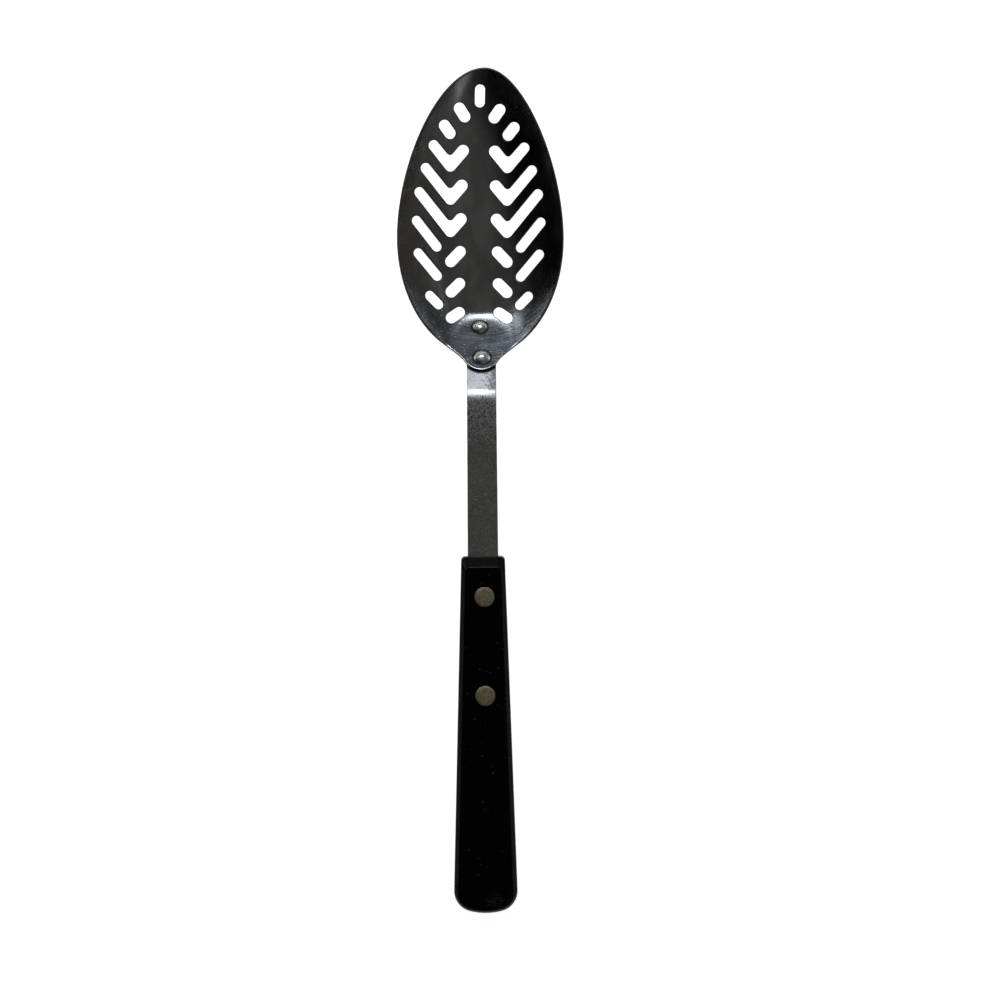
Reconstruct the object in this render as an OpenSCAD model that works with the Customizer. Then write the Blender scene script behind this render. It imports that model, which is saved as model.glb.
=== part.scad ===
// Slotted serving spoon: a pressed, pierced steel bowl riveted to a flat steel shank,
// whose tang is closed between two dark handle scales by cutlery rivets.
// Lengths are in millimetres. +Y points at the tip of the bowl, +Z up from the table.
// The spoon rests on the bottom of its bowl and on the butt of its handle.

/* [Bowl] */
// Length of the bowl from the end of its tab to its tip
bowl_len = 108.1; // [102:0.1:114]
// Width of the bowl at its widest place
bowl_w = 59.6; // [55:0.1:64]
// Distance from the end of the tab to the widest place
bowl_wide_at = 47.3; // [45:0.1:50]
// Height of the rim above the bottom of the bowl, outside
bowl_depth = 13.5; // [11.5:0.5:15.5]
// Thickness of the bowl's sheet
bowl_t = 1; // [0.8:0.1:1.4]
// How far the tip sits to the right, because its left side is worn down
tip_shift = 2; // [0:0.1:3]

/* [Heel] */
// Slope of the flat heel, where the bowl is riveted to the shank
heel_angle = 36; // [32:0.5:38]
// Distance from the end of the tab to the crease where the heel begins
heel_len = 19; // [18:0.1:21]
// Height of the crease above the bottom of the bowl
crease_h = 3.2; // [2.6:0.1:4]
// Height over which the crease is rounded in the middle
crease_blend = 1.1; // [0.6:0.1:1.4]
// Distance from the middle at which the crease is four times as round
crease_spread = 18; // [14:0.5:24]
// Radius of the round end of the tab
tab_r = 7.1; // [6.6:0.1:7.6]

/* [Slots] */
// Width of the long slots
slot_w = 3.5; // [2.8:0.1:3.8]
// Width of the short slots
short_slot_w = 4; // [3:0.1:4.2]
// How much wider the outer and inner arms of the chevrons are
chevron_extra_w = 0.2; // [0:0.1:0.3]
// Radius in the notch of each chevron
notch_r = 1.3; // [0.8:0.1:1.6]
// How far the pattern of slots sits to the left of the middle, at the heel
slot_shift = 0.65; // [0:0.05:1]
// How far that pattern bows to the right, up to the tip
slot_bow = 1.3; // [0:0.1:2]
// How far the rows of the pattern are turned clockwise
slot_turn = 0.9; // [0:0.1:1.5]

/* [Shank] */
// Thickness of the shank
shank_t = 2.4; // [2:0.1:2.8]
// Width of the shank under the bowl
shank_front_w = 10.3; // [9.6:0.1:11]
// Width of the shank where it enters the handle
shank_rear_w = 10.9; // [10.2:0.1:11.4]
// Distance from the crease back to the front end of the shank
shank_setback = 0.8; // [0.5:0.1:1.4]
// Corner radius of the shank's hidden ends
shank_end_r = 3; // [1.5:0.5:4]
// Distance from the end of the tab back to the bend above it
bend_back = 8.3; // [6.8:0.1:9.5]
// Radius of the bend, on its upper side
bend_r = 8; // [6:0.5:9]
// Distance from the bend to the handle
shank_len = 57.5; // [52:0.1:64]
// Length of the tang that is hidden in the handle
tang_len = 60; // [57:0.5:70]

/* [Handle] */
// Length of the handle
handle_len = 127; // [118:0.1:136]
// Width of the handle at its front
handle_front_w = 15.6; // [15.2:0.1:17]
// Width of the handle at its butt
handle_butt_w = 22.6; // [21:0.1:25]
// Thickness of one scale at its front
scale_front_t = 6; // [5.5:0.1:6.5]
// Thickness of one scale at its butt
scale_butt_t = 7; // [6.6:0.1:7.6]
// Width of the bevel along each long edge
bevel_w = 1.8; // [1.2:0.1:2.4]
// Height of that bevel, and of the rounding at the butt
bevel_h = 1.7; // [1.2:0.1:2.2]
// Length of the slope at the front end
nose_len = 3.6; // [3:0.1:4.4]
// Height of the slope at the front end
nose_h = 3.6; // [3:0.1:4]
// Radius of the two corners at the front
front_corner_r = 1.5; // [0.8:0.1:2]
// Radius of the two corners at the butt
butt_corner_r = 7.4; // [6:0.1:8]
// How far the butt bows out between its corners
butt_bow = 0.5; // [0.3:0.1:1]

/* [Rivets] */
// Distance from the end of the tab to the rear bowl rivet
bowl_rivet_rear_at = 4.4; // [4.2:0.1:4.8]
// How far it sits to the right of the middle
rear_rivet_shift = 0.2; // [-0.5:0.1:0.5]
// Distance from the end of the tab to the front bowl rivet
bowl_rivet_front_at = 15.2; // [14.4:0.1:15.4]
// How far it sits to the right of the middle
front_rivet_shift = -0.4; // [-0.5:0.1:0.5]
// Diameter of the rear bowl rivet's domed head
rear_dome_d = 6.2; // [5.6:0.1:6.6]
// Diameter of the front bowl rivet's domed head
front_dome_d = 5.5; // [5:0.1:5.6]
// Height of the domed heads
dome_h = 1.7; // [1.4:0.1:2.2]
// Diameter of the hammered heads under the shank
peen_d = 5; // [4.6:0.1:5.4]
// Height of the hammered heads
peen_h = 1; // [0.7:0.1:1.2]
// Diameter of the bowl rivets' shanks
bowl_pin_d = 3.2; // [2.8:0.1:3.6]
// Distance from the handle's front to its front rivet
handle_rivet_at = 14.1; // [12:0.1:18]
// Distance between the two handle rivets
handle_rivet_pitch = 35.2; // [32:0.1:37]
// How far both sit to the right of the handle's middle
handle_rivet_shift = 0.4; // [-0.5:0.1:0.5]
// Diameter of the handle rivets' flush heads
flush_head_d = 7.1; // [6.5:0.1:7.6]
// Thickness of the flush heads
flush_head_t = 1.2; // [1:0.1:1.5]
// Outer diameter of the tube half's shank
tube_d = 4.2; // [3.8:0.1:4.6]
// Diameter of the pin half's shank, inside the tube
pin_d = 2.6; // [2.2:0.1:2.8]

/* [Hidden] */
$fn = 48;

// Clearances
hole_clearance = 0.05;
seat_clearance = 0.02;
tang_clearance = 0.1;
tube_end_gap = 0.3;
cut_overrun = 2;

// Shape of the bowl's outline: pulls of its curves, as shares of the spans that they cross
heel_reach_share = 0.893;
fillet_at_share = 0.556;
fillet_pull_share = 0.2;
side_pull_share = 0.44;
tip_right_pull_share = 0.494;
tip_left_pull_share = 0.52;
tab_arc_angle = 58;

// Shape of the dish: powers of the rise across and along the bowl; the floor is flatter near the crease
wall_power = 2.2;
crease_power = 2.5;
crease_power_reach = 14;
front_power = 2.6;
rim_power = 0.35;

// Powers of the bow of the pattern of slots
slot_bow_power = 3.5;

// Number of facets along and across the bowl
tab_steps = 3;
fillet_steps = 4;
heel_steps = 4;
crease_steps = 6;
rear_steps = 8;
front_steps = 15;
across_steps = 24;
arc_steps = 10;
crease_reach_share = 0.12;

// Places in these tables are shares of the half width, across, and of the bowl's length, from the tab.
// The slots of the right half; the left half mirrors them, and the tip slot lies on the pattern's middle line.
tip_slot_shares = [0.885, 0.928];
// Straight slots: x and y of one end, x and y of the other
long_slot_shares = [
    [0.742, 0.493, 0.503, 0.410],
    [0.722, 0.387, 0.500, 0.314],
    [0.587, 0.248, 0.487, 0.220]];
short_slot_shares = [
    [0.242, 0.864, 0.176, 0.837],
    [0.417, 0.806, 0.348, 0.781],
    [0.223, 0.395, 0.337, 0.362],
    [0.232, 0.290, 0.334, 0.262],
    [0.237, 0.194, 0.334, 0.176]];
// Chevrons: ends of the outer arm, of the vertex and of the inner arm
chevron_shares = [
    [0.542, 0.740, 0.341, 0.675, 0.191, 0.726],
    [0.635, 0.665, 0.338, 0.567, 0.203, 0.612],
    [0.708, 0.586, 0.338, 0.461, 0.214, 0.502]];

// Derived sizes
half_w = bowl_w / 2;
heel_slope = tan(heel_angle);
bowl_front = bowl_len - bowl_wide_at;
fillet_at = heel_len * fillet_at_share;
crease_reach = heel_len * crease_reach_share;
bend_z = heel_z(-bend_back);
handle_reach = shank_len + handle_len;
drop_run = handle_reach - bevel_w;
drop_h = shank_t / 2 + scale_butt_t;
handle_drop = asin(bend_z / norm([drop_run, drop_h])) - atan2(drop_h, drop_run);
butt_y = -bend_back - handle_reach * cos(handle_drop) - (scale_butt_t - bevel_h - shank_t / 2) * sin(handle_drop);
middle_y = (bowl_len + butt_y) / 2;
handle_rivets_at = [handle_rivet_at, handle_rivet_at + handle_rivet_pitch];

// Point of a cubic curve with four control points
function curve(p, t) = pow(1 - t, 3) * p[0] + 3 * pow(1 - t, 2) * t * p[1]
                       + 3 * (1 - t) * t * t * p[2] + t * t * t * p[3];

// Half width of the rear half of the bowl, an ellipse, and the direction of its edge
function rear_half(y) = half_w * sqrt(1 - pow((bowl_wide_at - y) / (bowl_wide_at * heel_reach_share), 2));
function rear_edge_dir(y) = let (d = [rear_half(y + crease_blend) - rear_half(y), crease_blend]) d / norm(d);

// One side of the tab's neck, from its round end to the ellipse
neck_from = tab_r * [sin(tab_arc_angle), 1 - cos(tab_arc_angle)];
neck_to = [rear_half(fillet_at), fillet_at];
neck_pull = norm(neck_to - neck_from) * fillet_pull_share;
neck_curve = [neck_from, neck_from + neck_pull * [cos(tab_arc_angle), sin(tab_arc_angle)],
              neck_to - neck_pull * rear_edge_dir(fillet_at), neck_to];

// One side of the front half: side is 1 on the right and -1 on the left
function front_curve(side) = let (pull = side > 0 ? tip_right_pull_share : tip_left_pull_share)
    [[side * half_w, bowl_wide_at],
     [side * half_w, bowl_wide_at + side_pull_share * bowl_front],
     [tip_shift + pull * (side * half_w - tip_shift), bowl_len],
     [tip_shift, bowl_len]];

// Rows of the bowl from tab to tip: middle, half width and distance from the tab
tab_rows = [for (i = [1:tab_steps]) let (a = tab_arc_angle * i / tab_steps) [0, tab_r * sin(a), tab_r * (1 - cos(a))]];
neck_rows = [for (i = [1:fillet_steps]) let (p = curve(neck_curve, i / fillet_steps)) [0, p[0], p[1]]];
function even_rows(from, to, n) = [for (i = [1:n]) let (y = from + (to - from) * i / n) [0, rear_half(y), y]];
heel_rows = even_rows(fillet_at, heel_len - crease_reach, heel_steps);
crease_rows = even_rows(heel_len - crease_reach, heel_len + crease_reach, crease_steps);
rear_rows = even_rows(heel_len + crease_reach, bowl_wide_at, rear_steps);
front_rows = [for (i = [1:front_steps - 1])
    let (l = curve(front_curve(-1), i / front_steps), r = curve(front_curve(1), i / front_steps))
    [(l[0] + r[0]) / 2, (r[0] - l[0]) / 2, r[1]]];
rows = concat(tab_rows, neck_rows, heel_rows, crease_rows, rear_rows, front_rows);

// Height of the heel's plane, and of the dish alone at share u of a row's half width
function heel_z(y) = crease_h + heel_slope * (heel_len - y);
function middle_z(y) = y > bowl_wide_at
    ? bowl_depth * pow((y - bowl_wide_at) / bowl_front, front_power)
    : crease_h * pow((bowl_wide_at - y) / (bowl_wide_at - heel_len), 2);
function rim_z(row) = row[2] > bowl_wide_at ? bowl_depth : bowl_depth * pow(row[1] / half_w, rim_power);
function floor_power(y) = wall_power
    + (crease_power - wall_power) * pow(max(1 - pow((y - heel_len) / crease_power_reach, 2), 0), 2);
function dish_z(row, u) = middle_z(row[2]) + (rim_z(row) - middle_z(row[2])) * pow(abs(u), floor_power(row[2]));

// The lower of dish and heel gives way to the higher one, with a rounded crease between them
function blend_max(a, b, k) = let (h = min(max((a - b) / k / 2 + 1 / 2, 0), 1)) b + (a - b) * h + k * h * (1 - h);
function crease_round(x) = crease_blend * (1 + 3 * pow(x / crease_spread, 2));
function bowl_z(row, u) = blend_max(dish_z(row, u), heel_z(row[2]), crease_round(row[0] + u * row[1]));

// Both skins of the bowl: the outer one, and the inner one a sheet's thickness along the normals
last_row = len(rows) - 1;
outer_skin = [for (row = rows) [for (j = [0:across_steps]) let (u = 2 * j / across_steps - 1)
    [row[0] + u * row[1], row[2], bowl_z(row, u)]]];
function unit(v) = v / norm(v);
function skin_normal(i, j) = unit(cross(
    outer_skin[i][min(j + 1, across_steps)] - outer_skin[i][max(j - 1, 0)],
    outer_skin[min(i + 1, last_row)][j] - outer_skin[max(i - 1, 0)][j]));
inner_skin = [for (i = [0:last_row]) [for (j = [0:across_steps]) outer_skin[i][j] + bowl_t * skin_normal(i, j)]];
tab_end = [0, 0, heel_z(0)];
tip_end = [tip_shift, bowl_len, bowl_depth];
tip_rise = tip_end - outer_skin[last_row][across_steps / 2];
tip_normal = unit([0, -tip_rise[2], tip_rise[1]]);

// Point numbers: outer skin, inner skin, then the two ends on each
skin_count = len(rows) * (across_steps + 1);
function outer_at(i, j) = i * (across_steps + 1) + j;
function inner_at(i, j) = skin_count + outer_at(i, j);
function quad(a, b, c, d) = [[a, b, c], [a, c, d]];

module bowl_shell() {
    ends = [tab_end, tip_end, tab_end + bowl_t * [0, sin(heel_angle), cos(heel_angle)], tip_end + bowl_t * tip_normal];
    points = concat([for (r = outer_skin) each r], [for (r = inner_skin) each r], ends);
    tab_out = 2 * skin_count;
    tip_out = tab_out + 1;
    tab_in = tab_out + 2;
    tip_in = tab_out + 3;
    skins = [for (i = [0:last_row - 1]) for (j = [0:across_steps - 1]) each concat(
        quad(outer_at(i, j), outer_at(i, j + 1), outer_at(i + 1, j + 1), outer_at(i + 1, j)),
        quad(inner_at(i, j), inner_at(i + 1, j), inner_at(i + 1, j + 1), inner_at(i, j + 1)))];
    fans = [for (j = [0:across_steps - 1]) each [
        [tab_out, outer_at(0, j + 1), outer_at(0, j)],
        [tab_in, inner_at(0, j), inner_at(0, j + 1)],
        [tip_out, outer_at(last_row, j), outer_at(last_row, j + 1)],
        [tip_in, inner_at(last_row, j + 1), inner_at(last_row, j)]]];
    sides = [for (i = [0:last_row - 1]) each concat(
        quad(outer_at(i, 0), outer_at(i + 1, 0), inner_at(i + 1, 0), inner_at(i, 0)),
        quad(outer_at(i, across_steps), inner_at(i, across_steps),
             inner_at(i + 1, across_steps), outer_at(i + 1, across_steps)))];
    corners = concat(
        quad(tab_out, outer_at(0, 0), inner_at(0, 0), tab_in),
        quad(outer_at(0, across_steps), tab_out, tab_in, inner_at(0, across_steps)),
        quad(outer_at(last_row, 0), tip_out, tip_in, inner_at(last_row, 0)),
        quad(tip_out, outer_at(last_row, across_steps), inner_at(last_row, across_steps), tip_in));
    polyhedron(points = points, faces = concat(skins, fans, sides, corners), convexity = 4);
}

// Outline of a slot with round ends at a and b
function slot_outline(a, b, w) = let (turn = atan2(b[1] - a[1], b[0] - a[0])) concat(
    [for (i = [0:arc_steps]) a + w / 2 * [cos(turn + 90 + 180 * i / arc_steps), sin(turn + 90 + 180 * i / arc_steps)]],
    [for (i = [0:arc_steps]) b + w / 2 * [cos(turn - 90 + 180 * i / arc_steps), sin(turn - 90 + 180 * i / arc_steps)]]);

// The pattern's middle line bows to the right, and its rows turn with it
function slot_middle(y_share) = slot_bow * pow(y_share, slot_bow_power) - slot_shift;
function slot_lean(y_share) = tan(slot_turn) + slot_bow * slot_bow_power * pow(y_share, slot_bow_power - 1) / bowl_len;
function place(x_share, y_share, side) = let (x = side * x_share * half_w)
    [slot_middle(y_share) + x, y_share * bowl_len - x * slot_lean(y_share)];

module slot(a, b, w) {
    polygon(slot_outline(a, b, w));
}

module slots() {
    slot(place(0, tip_slot_shares[0], 1), place(0, tip_slot_shares[1], 1), slot_w);
    for (side = [-1, 1]) {
        for (s = long_slot_shares)
            slot(place(s[0], s[1], side), place(s[2], s[3], side), slot_w);
        for (s = short_slot_shares)
            slot(place(s[0], s[1], side), place(s[2], s[3], side), short_slot_w);
        for (s = chevron_shares)
            offset(r = -notch_r)
                offset(delta = notch_r) {
                    slot(place(s[0], s[1], side), place(s[2], s[3], side), slot_w + chevron_extra_w);
                    slot(place(s[2], s[3], side), place(s[4], s[5], side), short_slot_w + chevron_extra_w);
                }
    }
}

// Frame on the heel's outer face, at a distance from the end of the tab: Z leaves the face upwards
module on_heel(shift, at) {
    translate([shift, at, heel_z(at)])
        rotate([-heel_angle, 0, 0])
            children();
}

// Frame of the handle: its front face at Y = 0, its butt towards -Y, the shank's middle plane at Z = 0
module at_handle() {
    translate([0, -bend_back, bend_z])
        rotate([handle_drop, 0, 0])
            translate([0, -shank_len, -shank_t / 2])
                children();
}

module bowl_rivet_holes(d) {
    for (seat = [[front_rivet_shift, bowl_rivet_front_at], [rear_rivet_shift, bowl_rivet_rear_at]])
        on_heel(seat[0], seat[1])
            cylinder(h = 2 * (bowl_t + shank_t + cut_overrun), d = d, center = true);
}

module bowl() {
    color("slategray")
        translate([0, -middle_y, 0])
            difference() {
                bowl_shell();
                translate([0, 0, -cut_overrun])
                    linear_extrude(height = bowl_depth + bowl_t + 2 * cut_overrun)
                        slots();
                bowl_rivet_holes(bowl_pin_d + 2 * hole_clearance);
            }
}

// One face of the shank seen from the side, a depth below its upper face
bend_turn = heel_angle + handle_drop;
bend_tangent = bend_r * tan(bend_turn / 2);
shank_front_y = heel_len - shank_setback;
shank_front = [shank_front_y, heel_z(shank_front_y)];
bend_start = [-bend_back + bend_tangent * cos(heel_angle), bend_z - bend_tangent * sin(heel_angle)];
bend_centre = bend_start - bend_r * [sin(heel_angle), cos(heel_angle)];
tang_end = [-bend_back, bend_z] - (shank_len + tang_len) * [cos(handle_drop), sin(handle_drop)];
function shank_face(depth) = concat(
    [shank_front - depth * [sin(heel_angle), cos(heel_angle)]],
    [for (i = [0:arc_steps]) let (a = heel_angle - bend_turn * i / arc_steps)
        bend_centre + (bend_r - depth) * [sin(a), cos(a)]],
    [tang_end - depth * [-sin(handle_drop), cos(handle_drop)]]);
function reversed(list) = [for (i = [len(list) - 1:-1:0]) list[i]];

// Shape of the shank seen from above: it widens towards the handle and has rounded ends
function end_arc(x, y, from) = [for (i = [0:arc_steps])
    [x, y] + shank_end_r * [cos(from + 90 * i / arc_steps), sin(from + 90 * i / arc_steps)]];
handle_front_y = -bend_back - shank_len * cos(handle_drop);
front_in = shank_front_w / 2 - shank_end_r;
rear_in = shank_rear_w / 2 - shank_end_r;
shank_plan = concat(
    end_arc(front_in, shank_front_y - shank_end_r, 0),
    end_arc(-front_in, shank_front_y - shank_end_r, 90),
    [[-shank_rear_w / 2, handle_front_y]],
    end_arc(-rear_in, tang_end[0] + shank_end_r, 180),
    end_arc(rear_in, tang_end[0] + shank_end_r, 270),
    [[shank_rear_w / 2, handle_front_y]]);

module shank() {
    color("darkgray")
        translate([0, -middle_y, 0])
            difference() {
                intersection() {
                    rotate([90, 0, 90])
                        linear_extrude(height = shank_rear_w + 2 * cut_overrun, center = true)
                            polygon(concat(shank_face(0), reversed(shank_face(shank_t))));
                    translate([0, 0, -cut_overrun])
                        linear_extrude(height = bend_z + 2 * cut_overrun)
                            polygon(shank_plan);
                }
                bowl_rivet_holes(bowl_pin_d + 2 * hole_clearance);
                at_handle()
                    for (at = handle_rivets_at)
                        translate([handle_rivet_shift, -at, 0])
                            cylinder(h = 2 * shank_t, d = tube_d + 2 * hole_clearance, center = true);
            }
}

// Cap of a sphere with the given width and height, its flat face at Z = 0
module dome(d, h) {
    r = (d * d / 4 + h * h) / (2 * h);
    rotate_extrude()
        intersection() {
            translate([0, h - r])
                circle(r = r, $fn = 96);
            square([d, h]);
        }
}

// Bowl rivet on the heel: domed head above the bowl, hammered head below the shank
module bowl_rivet(shift, at, dome_d) {
    color("silver")
        translate([0, -middle_y, 0])
            on_heel(shift, at) {
                translate([0, 0, bowl_t + seat_clearance])
                    dome(dome_d, dome_h);
                translate([0, 0, -shank_t - seat_clearance])
                    cylinder(h = shank_t + bowl_t + 2 * seat_clearance, d = bowl_pin_d);
                translate([0, 0, -shank_t - seat_clearance])
                    rotate([180, 0, 0])
                        dome(peen_d, peen_h);
            }
}

module bowl_rivet_front() {
    bowl_rivet(front_rivet_shift, bowl_rivet_front_at, front_dome_d);
}

module bowl_rivet_rear() {
    bowl_rivet(rear_rivet_shift, bowl_rivet_rear_at, rear_dome_d);
}

// Thickness and half width of a scale at a distance from the handle's front; it thickens as far as the butt's curve
taper_len = handle_len - 2 * butt_corner_r + bevel_w;
function scale_t(at) = scale_front_t + (scale_butt_t - scale_front_t) * at / taper_len;
function scale_half(at) = (handle_front_w + (handle_butt_w - handle_front_w) * at / handle_len) / 2;

// Round post in one corner of a scale, standing on the parting plane
module post(x, at, r, h) {
    translate([x, -at, 0])
        cylinder(h = h, r = r, $fn = 32);
}

// Outer form of one scale: straight walls, bevelled long edges, a sloped nose and a rounded butt
module scale_block() {
    bow_shares = [-1, -0.5, 0, 0.5, 1];
    round_steps = 4;
    butt_in = handle_butt_w / 2 - butt_corner_r;
    hull() {
        for (side = [-1, 1]) {
            post(side * (handle_front_w / 2 - front_corner_r), front_corner_r, front_corner_r, scale_front_t - nose_h);
            post(side * (scale_half(nose_len) - front_corner_r), nose_len + front_corner_r,
                 front_corner_r, scale_t(nose_len) - bevel_h);
            post(side * (scale_half(nose_len) - bevel_w - front_corner_r), nose_len + front_corner_r,
                 front_corner_r, scale_t(nose_len));
        }
        for (share = bow_shares)
            for (i = [0:round_steps])
                post(share * butt_in, handle_len - butt_corner_r - butt_bow * share * share,
                     butt_corner_r - bevel_w * (1 - cos(90 * i / round_steps)),
                     scale_butt_t - bevel_h * (1 - sin(90 * i / round_steps)));
    }
}

// A scale with its channel for the tang, and stepped bores for the two rivets
module handle_scale() {
    channel_w = shank_rear_w + 2 * tang_clearance;
    difference() {
        scale_block();
        translate([-channel_w / 2, -tang_len - tang_clearance, -cut_overrun])
            cube([channel_w, tang_len + tang_clearance + cut_overrun, cut_overrun + shank_t / 2 + seat_clearance]);
        for (at = handle_rivets_at)
            translate([handle_rivet_shift, -at, 0]) {
                translate([0, 0, -cut_overrun])
                    cylinder(h = scale_butt_t + 2 * cut_overrun, d = tube_d + 2 * hole_clearance);
                translate([0, 0, scale_t(at) - flush_head_t])
                    cylinder(h = flush_head_t + cut_overrun, d = flush_head_d + 2 * hole_clearance);
            }
    }
}

module handle_scale_front() {
    color("dimgray")
        translate([0, -middle_y, 0])
            at_handle()
                handle_scale();
}

module handle_scale_back() {
    color([0.25, 0.25, 0.25])
        translate([0, -middle_y, 0])
            at_handle()
                mirror([0, 0, 1])
                    handle_scale();
}

// Half of a cutlery rivet, its head flush with the upper scale and its shank hanging down
module rivet_half(at, shank_d, shank_h) {
    translate([handle_rivet_shift, -at, scale_t(at) - flush_head_t + seat_clearance]) {
        cylinder(h = flush_head_t, d = flush_head_d);
        translate([0, 0, -shank_h])
            cylinder(h = shank_h + flush_head_t / 2, d = shank_d);
    }
}

// Distance between the heads of the two halves
function grip(at) = 2 * (scale_t(at) - flush_head_t + seat_clearance);

module rivet_tube(at) {
    color("tan")
        translate([0, -middle_y, 0])
            at_handle()
                difference() {
                    rivet_half(at, tube_d, grip(at) - tube_end_gap);
                    translate([handle_rivet_shift, -at, -scale_t(at)])
                        cylinder(h = 2 * scale_t(at) - flush_head_t, d = pin_d + 2 * hole_clearance);
                }
}

module rivet_pin(at) {
    color("peru")
        translate([0, -middle_y, 0])
            at_handle()
                mirror([0, 0, 1])
                    rivet_half(at, pin_d, grip(at) - tube_end_gap);
}

module rivet_front_tube() {
    rivet_tube(handle_rivets_at[0]);
}

module rivet_front_pin() {
    rivet_pin(handle_rivets_at[0]);
}

module rivet_rear_tube() {
    rivet_tube(handle_rivets_at[1]);
}

module rivet_rear_pin() {
    rivet_pin(handle_rivets_at[1]);
}

bowl();
shank();
bowl_rivet_front();
bowl_rivet_rear();
handle_scale_front();
handle_scale_back();
rivet_front_tube();
rivet_front_pin();
rivet_rear_tube();
rivet_rear_pin();
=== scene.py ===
"""Slotted serving spoon: visible pieces, finishes, light and camera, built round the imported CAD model.

Lengths are in metres. Y points at the tip of the bowl and Z up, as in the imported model.
"""

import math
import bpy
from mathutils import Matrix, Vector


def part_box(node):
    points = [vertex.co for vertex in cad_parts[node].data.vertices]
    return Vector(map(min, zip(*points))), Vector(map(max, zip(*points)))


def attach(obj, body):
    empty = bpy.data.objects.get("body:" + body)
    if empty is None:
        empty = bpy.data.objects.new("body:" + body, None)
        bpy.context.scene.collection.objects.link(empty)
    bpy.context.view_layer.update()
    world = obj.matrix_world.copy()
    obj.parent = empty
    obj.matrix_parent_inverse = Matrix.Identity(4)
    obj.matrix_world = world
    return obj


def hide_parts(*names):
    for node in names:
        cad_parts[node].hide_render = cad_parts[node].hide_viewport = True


bl_info = {
    "name": "Slotted Serving Spoon",
    "version": (1, 0, 0),
    "blender": (4, 5, 0),
    "location": "3D View > Sidebar > Spoon",
    "description": "Builds a pierced steel serving spoon with a riveted black handle",
    "category": "Add Mesh",
}

from functools import reduce

import bpy
import numpy as np
from bpy.props import FloatProperty, FloatVectorProperty, PointerProperty
from mathutils import Vector
from mathutils.geometry import delaunay_2d_cdt

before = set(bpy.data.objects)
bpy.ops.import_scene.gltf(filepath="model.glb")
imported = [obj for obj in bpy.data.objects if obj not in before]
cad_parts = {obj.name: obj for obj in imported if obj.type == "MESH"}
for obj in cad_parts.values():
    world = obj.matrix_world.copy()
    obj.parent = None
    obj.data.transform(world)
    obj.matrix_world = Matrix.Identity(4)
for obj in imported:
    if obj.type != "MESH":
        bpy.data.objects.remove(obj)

BODY = "root"
MM = 0.001

# Play round the rivets, and the gap under the heads and the scales
CLEARANCE = 0.05 * MM
SEAT = 0.02 * MM

# Fineness of the meshes
RIM_STEP = 0.6 * MM
SLOT_STEP = 0.36 * MM
LATHE_STEPS = 64
NOTCH_POINTS = 9

# Where the rim's painted highlight stops, and where its painted shade starts, from the end of the tab
BRIGHT_RIM_TO = 12.5 * MM
DARK_RIM_FROM = 80 * MM

BOWL_LOW, BOWL_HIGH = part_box("bowl")
TAB_Y = BOWL_LOW.y

# Slots of the right half, as shares of half the bowl's width and of its length from the tab
TIP_SLOT = (0.885, 0.928)
LONG_SLOTS = (
    (0.742, 0.493, 0.503, 0.410),
    (0.722, 0.387, 0.500, 0.314),
    (0.587, 0.248, 0.487, 0.220),
)
SHORT_SLOTS = (
    (0.242, 0.864, 0.176, 0.837),
    (0.417, 0.806, 0.348, 0.781),
    (0.223, 0.395, 0.337, 0.362),
    (0.232, 0.290, 0.334, 0.262),
    (0.237, 0.194, 0.334, 0.176),
)
CHEVRONS = (
    (0.542, 0.740, 0.341, 0.675, 0.191, 0.726),
    (0.635, 0.665, 0.338, 0.567, 0.203, 0.612),
    (0.708, 0.586, 0.338, 0.461, 0.214, 0.502),
)
SLOT_BOW_POWER = 3.5


def setting(name, description, default, **options):
    """A number that the user can change."""
    return FloatProperty(name=name, description=description, default=default, **options)


def shift(name, description, mm, **limits):
    """A distance to either side; its default is in millimetres."""
    return setting(name, description, mm * MM, unit="LENGTH", precision=5, **limits)


def length(name, description, mm):
    """A length; its default is in millimetres."""
    return shift(name, description, mm, min=0)


def angle(name, description, degrees):
    """An angle; its default is in degrees."""
    return setting(name, description, math.radians(degrees), subtype="ANGLE")


def colour(name, description, default):
    """A colour that the user can change."""
    return FloatVectorProperty(name=name, description=description, default=default, size=3, min=0, max=1,
                               subtype="COLOR")


class BowlSettings(bpy.types.PropertyGroup):
    """Sizes of the pierced bowl and its tab."""

    length: length("Length", "From the end of the tab to the tip", (BOWL_HIGH.y - BOWL_LOW.y) / MM)
    width: length("Width", "Across the widest place", (BOWL_HIGH.x - BOWL_LOW.x) / MM)
    widest_at: length("Widest at", "From the end of the tab to the widest place", 47.3)
    depth: length("Depth", "Height of the rim above the bottom, outside", 13.5)
    sheet: length("Sheet", "Thickness of the sheet", 1)
    tip_shift: length("Tip shift", "How far the worn tip sits to the right", 2)
    heel_slope: angle("Heel slope", "Slope of the flat heel", 36)
    heel_length: length("Heel length", "From the end of the tab to the crease", 19)
    crease_height: length("Crease height", "Height of the crease above the bottom", 3.2)
    crease_blend: length("Crease blend", "Height over which the crease is rounded in the middle", 1.1)
    crease_spread: length("Crease spread", "From the middle to where the crease is four times as round", 18)
    tab_radius: length("Tab radius", "Radius of the round end of the tab", 7.1)
    slot_width: length("Slot width", "Width of the long slots", 3.5)
    short_slot_width: length("Short slot width", "Width of the short slots", 4)
    chevron_extra: length("Chevron extra", "How much wider the chevrons' arms are", 0.2)
    slot_shift: length("Slot shift", "How far the slots sit to the left at the heel", 0.65)
    slot_bow: length("Slot bow", "How far their pattern bows to the right up to the tip", 1.3)
    slot_turn: angle("Slot turn", "How far their rows are turned clockwise", 0.9)
    notch_radius: length("Notch radius", "Inner radius where a chevron's arms meet", 1.3)
    edge_radius: length("Edge radius", "Rounding of the sheet's edges", 0.34)
    grid: length("Grid", "Distance between the points of the skin", 1.1)


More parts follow.
